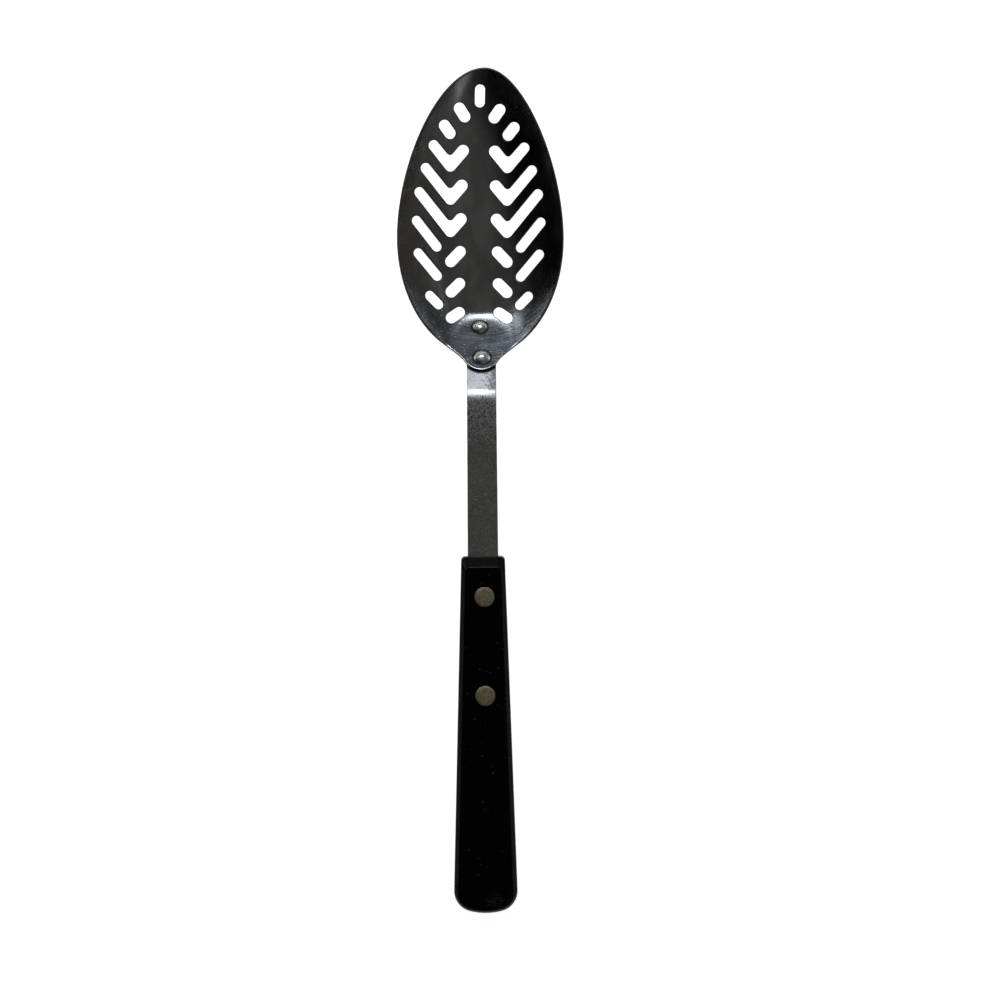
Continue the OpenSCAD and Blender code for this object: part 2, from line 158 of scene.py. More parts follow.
class ShankSettings(bpy.types.PropertyGroup):
    """Sizes of the flat strap between the bowl and the handle."""

    thickness: length("Thickness", "Thickness of the strap", 2.4)
    front_width: length("Front width", "Width under the bowl", 10.3)
    rear_width: length("Rear width", "Width where it enters the handle", 10.9)
    setback: length("Setback", "From the crease back to the strap's front end", 0.8)
    end_radius: length("End radius", "Corner radius of the hidden ends", 3)
    bend_back: length("Bend back", "From the end of the tab back to the bend", 8.3)
    bend_radius: length("Bend radius", "Radius of the bend, on its upper side", 8)
    reach: length("Reach", "From the bend to the handle", 57.5)
    tang: length("Tang", "Length hidden in the handle", 60)
    edge_radius: length("Edge radius", "Rounding of the long edges", 0.35)


class HandleSettings(bpy.types.PropertyGroup):
    """Sizes of the two handle scales."""

    length: length("Length", "Length of the handle", 127)
    front_width: length("Front width", "Width at the front", 15.6)
    butt_width: length("Butt width", "Width at the butt", 22.6)
    front_thickness: length("Front thickness", "Thickness of one scale at the front", 6)
    butt_thickness: length("Butt thickness", "Thickness of one scale at the butt", 7)
    bevel_width: length("Bevel width", "Width of the bevel along the long edges", 1.8)
    bevel_height: length("Bevel height", "Height of that bevel", 1.7)
    nose_length: length("Nose length", "Length of the slope at the front", 3.6)
    nose_height: length("Nose height", "Height of the slope at the front", 3.6)
    front_corner: length("Front corner", "Radius of the two corners at the front", 1.5)
    butt_corner: length("Butt corner", "Radius of the two corners at the butt", 7.4)
    butt_bow: length("Butt bow", "How far the butt bows out between its corners", 0.5)
    softening: length("Softening", "How far worn edges are rounded", 0.45)


class RivetSettings(bpy.types.PropertyGroup):
    """Sizes of the bowl rivets and the handle rivets."""

    rear_at: length("Rear at", "From the end of the tab to the rear bowl rivet", 4.4)
    front_at: length("Front at", "From the end of the tab to the front bowl rivet", 15.2)
    rear_shift: shift("Rear shift", "How far the rear bowl rivet sits to the right", 0.2)
    front_shift: shift("Front shift", "How far the front bowl rivet sits to the right", -0.4)
    rear_dome: length("Rear dome", "Diameter of the rear rivet's dome", 6.2)
    front_dome: length("Front dome", "Diameter of the front rivet's dome", 5.5)
    dome_height: length("Dome height", "Height of the domes", 1.7)
    peen: length("Hammered head", "Diameter of the hammered heads under the strap", 5)
    peen_height: length("Hammered height", "Height of the hammered heads", 1)
    pin: length("Pin", "Diameter of the bowl rivets' shanks", 3.2)
    handle_at: length("Handle rivet at", "From the handle's front to its front rivet", 14.1)
    handle_pitch: length("Handle pitch", "Distance between the handle rivets", 35.2)
    handle_shift: shift("Handle shift", "How far the handle rivets sit to the right", 0.4)
    head: length("Flush head", "Diameter of the flush heads", 7.1)
    head_thickness: length("Head thickness", "Thickness of the flush heads", 1.2)
    tube: length("Tube", "Outer diameter of the tube half", 4.2)
    tube_pin: length("Tube pin", "Diameter of the pin half", 2.6)


class FinishSettings(bpy.types.PropertyGroup):
    """Colours of the spoon's finishes."""

    bowl_steel: colour("Bowl steel", "Worn stainless steel of the bowl", (0.46, 0.46, 0.455))
    strap_steel: colour("Strap steel", "Scratched steel of the strap", (0.46, 0.46, 0.475))
    rivet_steel: colour("Rivet steel", "Polished steel of the bowl rivets", (0.62, 0.62, 0.61))
    handle_black: colour("Handle black", "Black of the handle scales", (0.0007, 0.0007, 0.0007))
    handle_rivet: colour("Handle rivet", "Dull brass of the handle rivets", (0.54, 0.48, 0.31))


class StageSettings(bpy.types.PropertyGroup):
    """Camera, lamps and floor."""

    camera_height: length("Camera height", "Height of the camera above the table", 5000)
    camera_x: shift("Camera X", "Place of the camera", 6.2)
    camera_y: shift("Camera Y", "Place of the camera", -3.5)
    camera_roll: angle("Camera roll", "Turn of the picture", -0.487)
    lens: setting("Lens", "Focal length in mm", 505.5, min=10)
    window: setting("Window", "Radiance of the tall softbox beyond the tip", 7, min=0)
    floor_size: length("Floor size", "Side of the square floor", 30000)


def unit_rows(v):
    """The rows of an array scaled to length 1."""
    return v / np.maximum(np.linalg.norm(v, axis=-1, keepdims=True), 1e-12)


def bezier(p, t):
    """Points of a cubic curve."""
    a, b, c, d = np.array(p)
    t = t[:, None]
    return (1 - t) ** 3 * a + 3 * (1 - t) ** 2 * t * b + 3 * (1 - t) * t * t * c + t ** 3 * d


def even_steps(loop, step):
    """The points of a closed loop, spaced evenly and about a step apart."""
    p = np.vstack([loop, loop[:1]])
    run = np.concatenate([[0], np.cumsum(np.linalg.norm(np.diff(p, axis=0), axis=1))])
    n = max(4, int(round(run[-1] / step)))
    at = np.linspace(0, run[-1], n + 1)[:-1]
    return np.column_stack([np.interp(at, run, p[:, i]) for i in (0, 1)])


def arc(centre, r, start, sweep, step=12):
    """Points of an arc in degrees, both ends included."""
    n = max(2, int(math.ceil(abs(sweep) / step)))
    a = np.radians(start + sweep * np.arange(n + 1) / n)
    return np.asarray(centre, float) + r * np.column_stack([np.cos(a), np.sin(a)])


class BowlForm:
    """The bowl's sheet over its plan: x across and v from the end of the tab to the tip."""

    HEEL_REACH = 0.893
    FILLET_AT = 0.556
    FILLET_PULL = 0.2
    SIDE_PULL = 0.44
    TIP_PULLS = {1: 0.494, -1: 0.52}
    TAB_ARC = 58
    WALL_POWER = 2.2
    CREASE_POWER = 2.5
    CREASE_POWER_REACH = 14 * MM
    FRONT_POWER = 2.6
    RIM_POWER = 0.35
    SAMPLES = 900

    def __init__(self, s):
        self.s = s
        self.half = s.width / 2
        self.front = s.length - s.widest_at
        self.slope = math.tan(s.heel_slope)
        self.right = self.side(1)
        self.left = self.side(-1)

    def rear_half(self, v):
        """Half width of the rear half, an ellipse."""
        share_back = (self.s.widest_at - v) / (self.s.widest_at * self.HEEL_REACH)
        return self.half * np.sqrt(np.maximum(1 - share_back ** 2, 0))

    def side(self, way):
        """One side of the outline from the tab's end to the tip, way 1 on the right and -1 on the left."""
        s = self.s
        a = np.radians(np.linspace(0, self.TAB_ARC, self.SAMPLES // 4))
        nose = s.tab_radius * np.column_stack([np.sin(a), 1 - np.cos(a)])
        at = s.heel_length * self.FILLET_AT
        step = s.crease_blend
        edge_way = np.array([self.rear_half(at + step) - self.rear_half(at), step])
        edge_way /= np.linalg.norm(edge_way)
        to = np.array([self.rear_half(at), at])
        pull = np.linalg.norm(to - nose[-1]) * self.FILLET_PULL
        turn = math.radians(self.TAB_ARC)
        neck = bezier([nose[-1], nose[-1] + pull * np.array([math.cos(turn), math.sin(turn)]),
                       to - pull * edge_way, to], np.linspace(0, 1, self.SAMPLES // 4)[1:])
        v = np.linspace(at, s.widest_at, self.SAMPLES)[1:]
        rear = np.column_stack([self.rear_half(v), v])
        shift = way * s.tip_shift
        front = bezier([[self.half, s.widest_at],
                        [self.half, s.widest_at + self.SIDE_PULL * self.front],
                        [shift + self.TIP_PULLS[way] * (self.half - shift), s.length],
                        [shift, s.length]], np.linspace(0, 1, self.SAMPLES)[1:])
        side = np.vstack([nose, neck, rear, front])
        side[:, 0] *= way
        return side

    def outline(self, step):
        """The whole outline, anticlockwise seen from above."""
        return even_steps(np.vstack([self.right, self.left[-2:0:-1]]), step)

    def across(self, v):
        """Middle and half width at v."""
        left, right = (np.interp(v, side[:, 1], side[:, 0]) for side in (self.left, self.right))
        return (left + right) / 2, np.maximum((right - left) / 2, 1e-6)

    def height(self, p):
        """Height of the lower skin at plan points."""
        s = self.s
        x, v = p[:, 0], p[:, 1]
        middle, half = self.across(v)
        u = np.minimum(np.abs((x - middle) / half), 1.05)
        ahead = np.maximum(v - s.widest_at, 0) / self.front
        behind = np.maximum(s.widest_at - v, 0) / (s.widest_at - s.heel_length)
        low = s.depth * ahead ** self.FRONT_POWER + s.crease_height * behind ** 2
        rim = np.where(v > s.widest_at, s.depth, s.depth * (half / self.half) ** self.RIM_POWER)
        flatter = np.maximum(1 - ((v - s.heel_length) / self.CREASE_POWER_REACH) ** 2, 0) ** 2
        dish = low + (rim - low) * u ** (self.WALL_POWER + (self.CREASE_POWER - self.WALL_POWER) * flatter)
        heel = s.crease_height + self.slope * (s.heel_length - v)
        k = s.crease_blend * (1 + 3 * (x / s.crease_spread) ** 2)
        h = np.clip((dish - heel) / k / 2 + 0.5, 0, 1)
        return heel + (dish - heel) * h + k * h * (1 - h)

    def skin(self, p):
        """Places of plan points on the lower skin, and its normals, which point up."""
        margin = 0.06 * MM
        v = np.clip(p[:, 1], margin, self.s.length - margin)
        middle, half = self.across(v)
        x = middle + np.clip(p[:, 0] - middle, -half * 0.998, half * 0.998)
        q = np.column_stack([x, v])
        e = 0.02 * MM
        dx = (self.height(q + [e, 0]) - self.height(q - [e, 0])) / (2 * e)
        dv = (self.height(q + [0, e]) - self.height(q - [0, e])) / (2 * e)
        n = unit_rows(np.column_stack([-dx, -dv, np.ones(len(q))]))
        return np.column_stack([p[:, 0], p[:, 1] + TAB_Y, self.height(p)]), n

    def under(self, p):
        """Plan points on the lower skin, below the points that p marks on the middle of the sheet."""
        q = p
        for _ in range(4):
            q = p - self.s.sheet / 2 * self.skin(q)[1][:, :2]
        return q


def heading(way):
    """Angle of a direction, in degrees."""
    return math.degrees(math.atan2(way[1], way[0]))


def slot_loop(a, b, width):
    """Outline of a slot with round ends at a and b."""
    turn = heading(b - a)
    return np.vstack([arc(a, width / 2, turn + 90, 180), arc(b, width / 2, turn - 90, 180)])


def chevron_loop(a, c, b, outer_width, inner_width, notch_radius):
    """Outline of two slots that meet at c, with a rounded notch between their arms."""
    to_a, to_b = unit_rows(a - c), unit_rows(b - c)
    way = 1 if to_a[0] * to_b[1] > to_a[1] * to_b[0] else -1
    wa, wb = outer_width / 2, inner_width / 2
    in_a = way * np.array([-to_a[1], to_a[0]])
    in_b = -way * np.array([-to_b[1], to_b[0]])
    cap_a = arc(a, wa, heading(to_a) - way * 90, way * 180)
    cap_b = arc(b, wb, heading(to_b) - way * 90, way * 180)
    sweep = 180 - math.degrees(math.acos(float(np.clip(to_a @ to_b, -1, 1))))
    corner = arc(c, (wa + wb) / 2, heading(to_b) + way * 90, way * sweep)
    reach = np.array([in_a @ c + (wa + notch_radius), in_b @ c + (wb + notch_radius)])
    centre = np.linalg.solve(np.array([in_a, in_b]), reach)
    start = heading(-in_a)
    notch = arc(centre, notch_radius, start, (heading(-in_b) - start + 180) % 360 - 180, 15)
    return np.vstack([cap_a, notch, cap_b, corner])


def bore(centre, diameter):
    """Outline of a bore for a rivet's shank."""
    return arc(centre, diameter / 2 + CLEARANCE, 0, 345, 15)


def turns_left(loop):
    """Whether a loop runs anticlockwise."""
    ahead = np.roll(loop, -1, axis=0)
    return np.sum(loop[:, 0] * ahead[:, 1] - ahead[:, 0] * loop[:, 1]) > 0


def outward(loop, hole):
    """Directions that leave the material at each point of a loop."""
    along = unit_rows(np.roll(loop, -1, axis=0) - np.roll(loop, 1, axis=0))
    side = np.column_stack([along[:, 1], -along[:, 0]])
    return side if turns_left(loop) != hole else -side


def inside_of(points, loop):
    """Whether points lie inside a closed loop."""
    x, y = points[:, 0], points[:, 1]
    hit = np.zeros(len(points), bool)
    for (ax, ay), (bx, by) in zip(loop, np.roll(loop, -1, axis=0)):
        crosses = (ay > y) != (by > y)
        if crosses.any():
            hit ^= crosses & (x < ax + (y - ay) * (bx - ax) / (by - ay))
    return hit


def away_from(points, loop, gap):
    """The points that lie further than a gap from a loop."""
    near = ((points[:, None] - loop[None]) ** 2).sum(axis=2).min(axis=1)
    return points[near > gap * gap]


def grid(xs, vs):
    """The points of a grid, row by row."""
    x, v = np.meshgrid(xs, vs)
    return np.column_stack([x.ravel(), v.ravel()])


def clear_points(points, outline, holes, gap, hole_gap):
    """The points that lie in the material, further than a gap from its edges."""
    points = away_from(points[inside_of(points, outline)], outline, gap)
    for hole in holes:
        points = away_from(points[~inside_of(points, hole)], hole, hole_gap)
    return points


def filled(outline, holes, free=()):
    """Triangles that fill an outline but not its holes, over the loops' points and then the free points."""
    loops = [outline, *holes]
    points = np.vstack([*loops, *([free] if len(free) else [])])
    edges, start = [], 0
    for loop in loops:
        n = len(loop)
        edges += [(start + i, start + (i + 1) % n) for i in range(n)]
        start += n
    made = delaunay_2d_cdt([Vector(p * 1000) for p in points], edges, [], 0, 1e-7)
    back = [origin[0] for origin in made[3]]
    tri = np.array([[back[i] for i in face] for face in made[2]])
    middle = points[tri].mean(axis=1)
    keep = inside_of(middle, outline)
    for hole in holes:
        keep &= ~inside_of(middle, hole)
    tri = tri[keep]
    a, b, c = (points[tri[:, i]] for i in range(3))
    turned = (b[:, 0] - a[:, 0]) * (c[:, 1] - a[:, 1]) - (b[:, 1] - a[:, 1]) * (c[:, 0] - a[:, 0]) < 0
    tri[turned] = tri[turned][:, ::-1]
    return tri


def new_piece(name, verts, faces, normals=None, materials=(), face_materials=None):
    """A mesh object with its normals and materials."""
    mesh = bpy.data.meshes.new(name)
    mesh.from_pydata([tuple(v) for v in verts], [], [tuple(int(i) for i in f) for f in faces])
    mesh.validate()
    mesh.shade_smooth()
    for material in materials:
        mesh.materials.append(material)
    if face_materials is not None:
        mesh.polygons.foreach_set("material_index", face_materials)
    if normals is not None:
        mesh.normals_split_custom_set_from_vertices([tuple(n) for n in normals])
    mesh.update()
    piece = bpy.data.objects.new(name, mesh)
    bpy.context.scene.collection.objects.link(piece)
    return piece


def sheet_piece(name, outline, holes, free, place, thickness, edge, materials, levels=None, crest=None):
    """A sheet over a plan, with its edges rounded all round.

    place(points, depth) gives the places and normals of plan points at a depth above the lower skin.
    levels(points, ways) turns plan directions into directions in the sheet.
    crest(points) gives the materials of the outline's upper rounding.
    """
    loops = [(outline, False)] + [(hole, True) for hole in holes]
    ways = [outward(*loop) for loop in loops]
    inset = [loop - edge * way for (loop, _), way in zip(loops, ways)]
    edge_loops = np.vstack([loop for loop, _ in loops])
    way, rim_count = np.vstack(ways), len(edge_loops)
    level = np.column_stack([way, np.zeros(rim_count)])
    if levels is not None:
        level = levels(edge_loops, level)
    tri = filled(inset[0], inset[1:], free)
    flat = np.vstack([*inset, free])
    count = len(flat)
    low, low_n = place(flat, 0.0)
    high, high_n = place(flat, thickness)
    verts, normals = [low, high], [-low_n, high_n]
    faces = [t[::-1] for t in tri] + [t + count for t in tri]
    kinds = [0] * len(faces)
    rings = [np.arange(rim_count)]
    profile = [(edge * (1 - math.sin(a)), edge * (1 - math.cos(a)), -math.cos(a), math.sin(a))
               for a in np.radians([0, 30, 60, 90])]
    profile += [(e, thickness - depth, -up, out) for e, depth, up, out in profile[::-1]]
    for k, (e, depth, up, out) in enumerate(profile[1:-1]):
        p, n = place(edge_loops - e * way, depth)
        verts.append(p)
        across = unit_rows(level - n * np.sum(level * n, axis=1, keepdims=True))
        normals.append(unit_rows(n * up + across * out))
        rings.append(2 * count + k * rim_count + np.arange(rim_count))
    rings.append(count + np.arange(rim_count))
    for k, (below, above) in enumerate(zip(rings, rings[1:])):
        start = 0
        for loop, hole in loops:
            n = len(loop)
            i, j = start + np.arange(n), start + (np.arange(n) + 1) % n
            if turns_left(loop) == hole:
                i, j = j, i
            faces += list(np.column_stack([below[i], below[j], above[j], above[i]]))
            if crest is None:
                kinds += [0] * n
            elif hole or k < len(rings) - 3:
                kinds += [1] * n
            else:
                kinds += crest(loop).tolist()
            start += n
    return new_piece(name, np.vstack(verts), faces, np.vstack(normals), materials, kinds)


def lathe_piece(name, profile, frame_of, material, ripple=0.0):
    """A piece turned about a frame's Z axis, from a (radius, height) profile that starts and ends on it."""
    origin, ax, ay, az = frame_of
    verts, rings, faces = [], [], []
    for r, h in profile:
        steps = LATHE_STEPS if r else 1
        rings.append(range(len(verts), len(verts) + steps))
        for k in range(steps):
            a = 2 * math.pi * k / steps
            dent = ripple * (math.sin(3 * a + 1.2 * h / MM) + 0.6 * math.sin(5 * a + 1.7)) * min(1, r / MM)
            verts.append(origin + (r + dent) * (ax * math.cos(a) + ay * math.sin(a)) + az * h)
    for low, high in zip(rings, rings[1:]):
        for k in range(LATHE_STEPS):
            j = (k + 1) % LATHE_STEPS
            quad = (low[k % len(low)], low[j % len(low)], high[j % len(high)], high[k % len(high)])
            face = list(dict.fromkeys(quad))
            if len(face) > 2:
                faces.append(face)
    piece = new_piece(name, verts, faces, None, [material])
    piece.data.set_sharp_from_angle(angle=math.radians(40))
    return piece


def mount(piece, nodes):
    """The piece stands for its CAD nodes, which it hides, and rides on the body."""
    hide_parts(*nodes)
    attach(piece, BODY)


def settings():
    """The scene's groups of settings."""
    return bpy.context.scene.spoon


def bowl_rivets():
    """Name, place and dome of each bowl rivet."""
    r = settings().rivets
    return (("front", r.front_shift, r.front_at, r.front_dome),
            ("rear", r.rear_shift, r.rear_at, r.rear_dome))


def handle_rivets():
    """Name of each handle rivet, and its distance from the handle's front."""
    r = settings().rivets
    return ("front", r.handle_at), ("rear", r.handle_at + r.handle_pitch)


def tilted(a):
    """Axes turned about X by an angle."""
    return Vector((1, 0, 0)), Vector((0, math.cos(a), math.sin(a))), Vector((0, -math.sin(a), math.cos(a)))


def heel_frame(aside, at):
    """Frame on the heel's lower face, a distance from the end of the tab, with Z out of the bowl."""
    b = settings().bowl
    height = b.crease_height + math.tan(b.heel_slope) * (b.heel_length - at)
    return Vector((aside, TAB_Y + at, height)), *tilted(-b.heel_slope)


def bend_height():
    """Height of the strap's bend above the table, on its upper face."""
    b, k = settings().bowl, settings().shank
    return b.crease_height + math.tan(b.heel_slope) * (b.heel_length + k.bend_back)


def handle_drop():
    """Angle by which the strap and the handle fall towards the butt."""
    k, h = settings().shank, settings().handle
    run = k.reach + h.length - h.bevel_width
    drop = k.thickness / 2 + h.butt_thickness
    return math.asin(bend_height() / math.hypot(run, drop)) - math.atan2(drop, run)


def handle_frame():
    """Frame of the handle: origin at its front, Y towards the tip, Z out of its upper face."""
    k = settings().shank
    x, y, z = tilted(handle_drop())
    bend = Vector((0, TAB_Y - k.bend_back, bend_height()))
    return bend - y * k.reach - z * k.thickness / 2, x, y, z


def slot_loops(s, step):
    """The outlines of all slots, on a middle line that bows to the right."""
    def at(x, y, way):
        x *= way * s.width / 2
        middle = s.slot_bow * y ** SLOT_BOW_POWER - s.slot_shift
        lean = math.tan(s.slot_turn) + s.slot_bow * SLOT_BOW_POWER * y ** (SLOT_BOW_POWER - 1) / s.length
        return np.array([middle + x, y * s.length - x * lean])

    outer, inner = s.slot_width + s.chevron_extra, s.short_slot_width + s.chevron_extra
    loops = [slot_loop(at(0, TIP_SLOT[0], 1), at(0, TIP_SLOT[1], 1), s.slot_width)]
    for way in (-1, 1):
        for width, table in ((s.slot_width, LONG_SLOTS), (s.short_slot_width, SHORT_SLOTS)):
            loops += [slot_loop(at(x0, y0, way), at(x1, y1, way), width) for x0, y0, x1, y1 in table]
        for row in CHEVRONS:
            a, c, b = (at(*row[i:i + 2], way) for i in (0, 2, 4))
            loops.append(chevron_loop(a, c, b, outer, inner, s.notch_radius))
    return [even_steps(loop, step) for loop in loops]


class SPOON_OT_bowl(bpy.types.Operator):
    """Build the pierced bowl from one pressed sheet"""

    bl_idname = "spoon.bowl"
    bl_label = "Bowl"

    def execute(self, context):
        s, r = settings().bowl, settings().rivets
        form = BowlForm(s)
        outline = form.outline(RIM_STEP)
        holes = slot_loops(s, SLOT_STEP)
        holes += [bore((aside, at), r.pin) for _, aside, at, _ in bowl_rivets()[::-1]]
        row, fine_to, half = s.grid * 0.433, s.heel_length * 1.35, s.width / 2
        free = np.vstack([grid(np.arange(-half, half, s.grid), np.arange(fine_to, s.length, 2 * row)),
                          grid(np.arange(-half, half, s.grid / 2), np.arange(0.3 * MM, fine_to, row))])
        free[:, 0] += np.round(free[:, 1] / row).astype(int) % 2 * s.grid * 0.25
        free = clear_points(free, outline, holes, s.grid * 0.5, s.grid * 0.4)
        hole_points = slice(len(outline), len(outline) + sum(len(hole) for hole in holes))

        def place(points, depth):
            q = points.copy()
            q[hole_points] = form.under(points[hole_points])
            p, n = form.skin(q)
            return p + depth * n, n

        def crest(points):
            """Material of the rim's upper rounding: a painted highlight round the tab, thin and dark with
            painted shade at the tip.
            """
            return np.select([points[:, 1] < BRIGHT_RIM_TO, points[:, 1] > DARK_RIM_FROM], [2, 1], 0)

        piece = sheet_piece("bowl_shell", outline, holes, free, place, s.sheet, s.edge_radius,
                            [bowl_steel(), shaded_cut_edge_steel(), rim_highlight_steel()], crest=crest)
        mount(piece, ["bowl"])
        return {"FINISHED"}


class SPOON_OT_shank(bpy.types.Operator):
    """Build the flat strap with its bend and its hidden tang"""

    bl_idname = "spoon.shank"
    bl_label = "Shank"

    def execute(self, context):
        k, b, r = settings().shank, settings().bowl, settings().rivets
        slope, drop = b.heel_slope, handle_drop()
        turn = slope + drop
        tangent = k.bend_radius * math.tan(turn / 2)
        front_v = b.heel_length - k.setback
        first = (front_v + k.bend_back) / math.cos(slope) - tangent
        bend = k.bend_radius * turn
        whole = first + bend + (k.reach + k.tang - tangent)

        def face(run):
            """Place (v, z) and upward angle of the upper face, a run from the front end."""
            tilt = slope - np.clip((run - first) / k.bend_radius, 0, turn)
            middle_v = -k.bend_back + tangent * math.cos(slope) - k.bend_radius * math.sin(slope)
            middle_z = bend_height() - tangent * math.sin(slope) - k.bend_radius * math.cos(slope)
            on = k.bend_radius * np.column_stack([np.sin(tilt), np.cos(tilt)]) + [middle_v, middle_z]
            on += np.outer(np.minimum(run - first, 0), [-math.cos(slope), math.sin(slope)])
            on += np.outer(np.maximum(run - first - bend, 0), [-math.cos(drop), -math.sin(drop)])
            return on, tilt

        def half(run):
            """Half width a run from the front end."""
            share_run = np.clip(run / (first + bend + k.reach - tangent), 0, 1)
            return (k.front_width + (k.rear_width - k.front_width) * share_run) / 2

        c = k.end_radius
        runs = np.linspace(c, whole - c, 160)
        right = np.column_stack([half(runs), runs])
        rear_in, front_in = half(whole) - c, half(0.0) - c
        outline = np.vstack([
            right, arc((rear_in, whole - c), c, 0, 90, 10), arc((-rear_in, whole - c), c, 90, 90, 10),
            right[::-1] * [-1, 1], arc((-front_in, c), c, 180, 90, 10), arc((front_in, c), c, 270, 90, 10)])
        outline = even_steps(outline, 0.8 * MM)
        holes = [bore((-aside, (front_v - at) / math.cos(slope)), r.pin)
                 for _, aside, at, _ in bowl_rivets()]
        holes += [bore((-r.handle_shift, first + bend + (k.reach - tangent) + at), r.tube)
                  for _, at in handle_rivets()]
        free = grid(np.arange(-4.2 * MM, 4.3 * MM, 1.4 * MM), np.arange(1 * MM, whole, 1.2 * MM))
        free = clear_points(free, outline, holes, 0.7 * MM, 0.7 * MM)

        def place(points, depth):
            on, tilt = face(points[:, 1])
            n = np.column_stack([np.zeros(len(tilt)), np.sin(tilt), np.cos(tilt)])
            p = np.column_stack([-points[:, 0], on[:, 0] + TAB_Y, on[:, 1]])
            return p - (k.thickness - depth) * n, n

        def levels(points, ways):
            tilt = face(points[:, 1])[1]
            return np.column_stack([-ways[:, 0], -ways[:, 1] * np.cos(tilt), ways[:, 1] * np.sin(tilt)])

        piece = sheet_piece("shank_strap", outline, holes, free, place, k.thickness, k.edge_radius,
                            [strap_steel()], levels=levels)
        mount(piece, ["shank"])
        return {"FINISHED"}


def dome_profile(r, h, steps):
    """Points of a dome from its edge to its top."""
    big = (r * r + h * h) / (2 * h)
    span = math.asin(min(1, r / big))
    turns = [span * (1 - i / steps) for i in range(steps + 1)]
    return [(big * math.sin(a), h - big + big * math.cos(a)) for a in turns]


class SPOON_OT_bowl_rivets(bpy.types.Operator):
    """Build the two domed rivets that hold the bowl on the strap"""

    bl_idname = "spoon.bowl_rivets"
    bl_label = "Bowl Rivets"

    def execute(self, context):
        s, r = settings(), settings().rivets
        low, high = -s.shank.thickness - SEAT, s.bowl.sheet + SEAT
        lip, dents = 0.09 * MM, 0.012 * MM
        for place, aside, at, dome in bowl_rivets():
            under = [(radius, low - h) for radius, h in dome_profile(r.peen / 2, r.peen_height, 10)[::-1]]
            over = [(radius, high + h) for radius, h in dome_profile(dome / 2, r.dome_height, 16)[1:]]
            profile = [*under, (r.pin / 2, low), (r.pin / 2, high), (dome / 2 - lip, high), *over]
            base = heel_frame(aside, at)
            piece = lathe_piece(f"rivet_dome_{place}", profile, base, rivet_steel(), dents)
            mount(piece, [f"bowl_rivet_{place}"])
        return {"FINISHED"}


class SPOON_OT_handle_scales(bpy.types.Operator):
    """Build the two scales of the handle"""

    bl_idname = "spoon.handle_scales"
    bl_label = "Handle Scales"

    def execute(self, context):
        mount(scale_piece("scale_upper", 1), ["handle_scale_front"])
        mount(scale_piece("scale_lower", -1), ["handle_scale_back"])
        return {"FINISHED"}


def taper_length():
    """Distance from the handle's front over which its scales thicken."""
    h = settings().handle
    return h.length - 2 * h.butt_corner + h.bevel_width


def scale_thickness(at):
    """Thickness of a scale, a distance from the handle's front."""
    h = settings().handle
    return h.front_thickness + (h.butt_thickness - h.front_thickness) * at / taper_length()


def scale_plan(inset, nose, butt_r, notch_half):
    """Plan of a scale at an inset from its sides and a distance behind its front, in (x, distance) pairs.

    The first NOTCH_POINTS points run along its front, over the channel for the tang.
    """
    h = settings().handle
    end = h.length - h.butt_corner
    bow_from = end - h.butt_bow
    behind_nose = h.front_width + (h.butt_width - h.front_width) * h.nose_length / h.length
    taper = ((0, h.nose_length + h.front_corner, bow_from), (h.front_width, behind_nose, h.butt_width))

    def half(at):
        return np.interp(at, *taper) / 2 - inset

    front_r = h.front_corner
    corner_x, corner_at = half(nose) - front_r, nose + front_r
    right = [(x, nose) for x in np.linspace(notch_half, corner_x, 4)[1:]]
    right += arc((corner_x, corner_at), front_r, -90, 90, 11.25)[1:].tolist()
    right += [(half(at), at) for at in np.linspace(corner_at, bow_from, 42)[1:-1]]
    middle = h.butt_width / 2 - h.butt_corner
    bows = [(1, a) for a in np.linspace(0, math.atan2(middle, 2 * h.butt_bow), 17)]
    bows += [(share, math.atan2(middle, 2 * h.butt_bow * share)) for share in np.linspace(1, 0, 9)[1:]]
    right += [(share * middle + butt_r * math.cos(a), end - h.butt_bow * share ** 2 + butt_r * math.sin(a))
              for share, a in bows]
    front = [(x, nose) for x in np.linspace(-notch_half, notch_half, NOTCH_POINTS)]
    left = [(-x, at) for x, at in right[-2::-1]]
    return np.array(front + right + left)


def rounded(p, q, r):
    """Five rings that round the corner at q, from p to r."""
    return [(1 - t) ** 2 * p + 2 * (1 - t) * t * q + t * t * r for t in np.linspace(0, 1, 5)]


def band(low, high, n, first=0):
    """Faces between two rings of n points, from one of their points on."""
    return [[low + i, low + (i + 1) % n, high + (i + 1) % n, high + i] for i in range(first, n)]


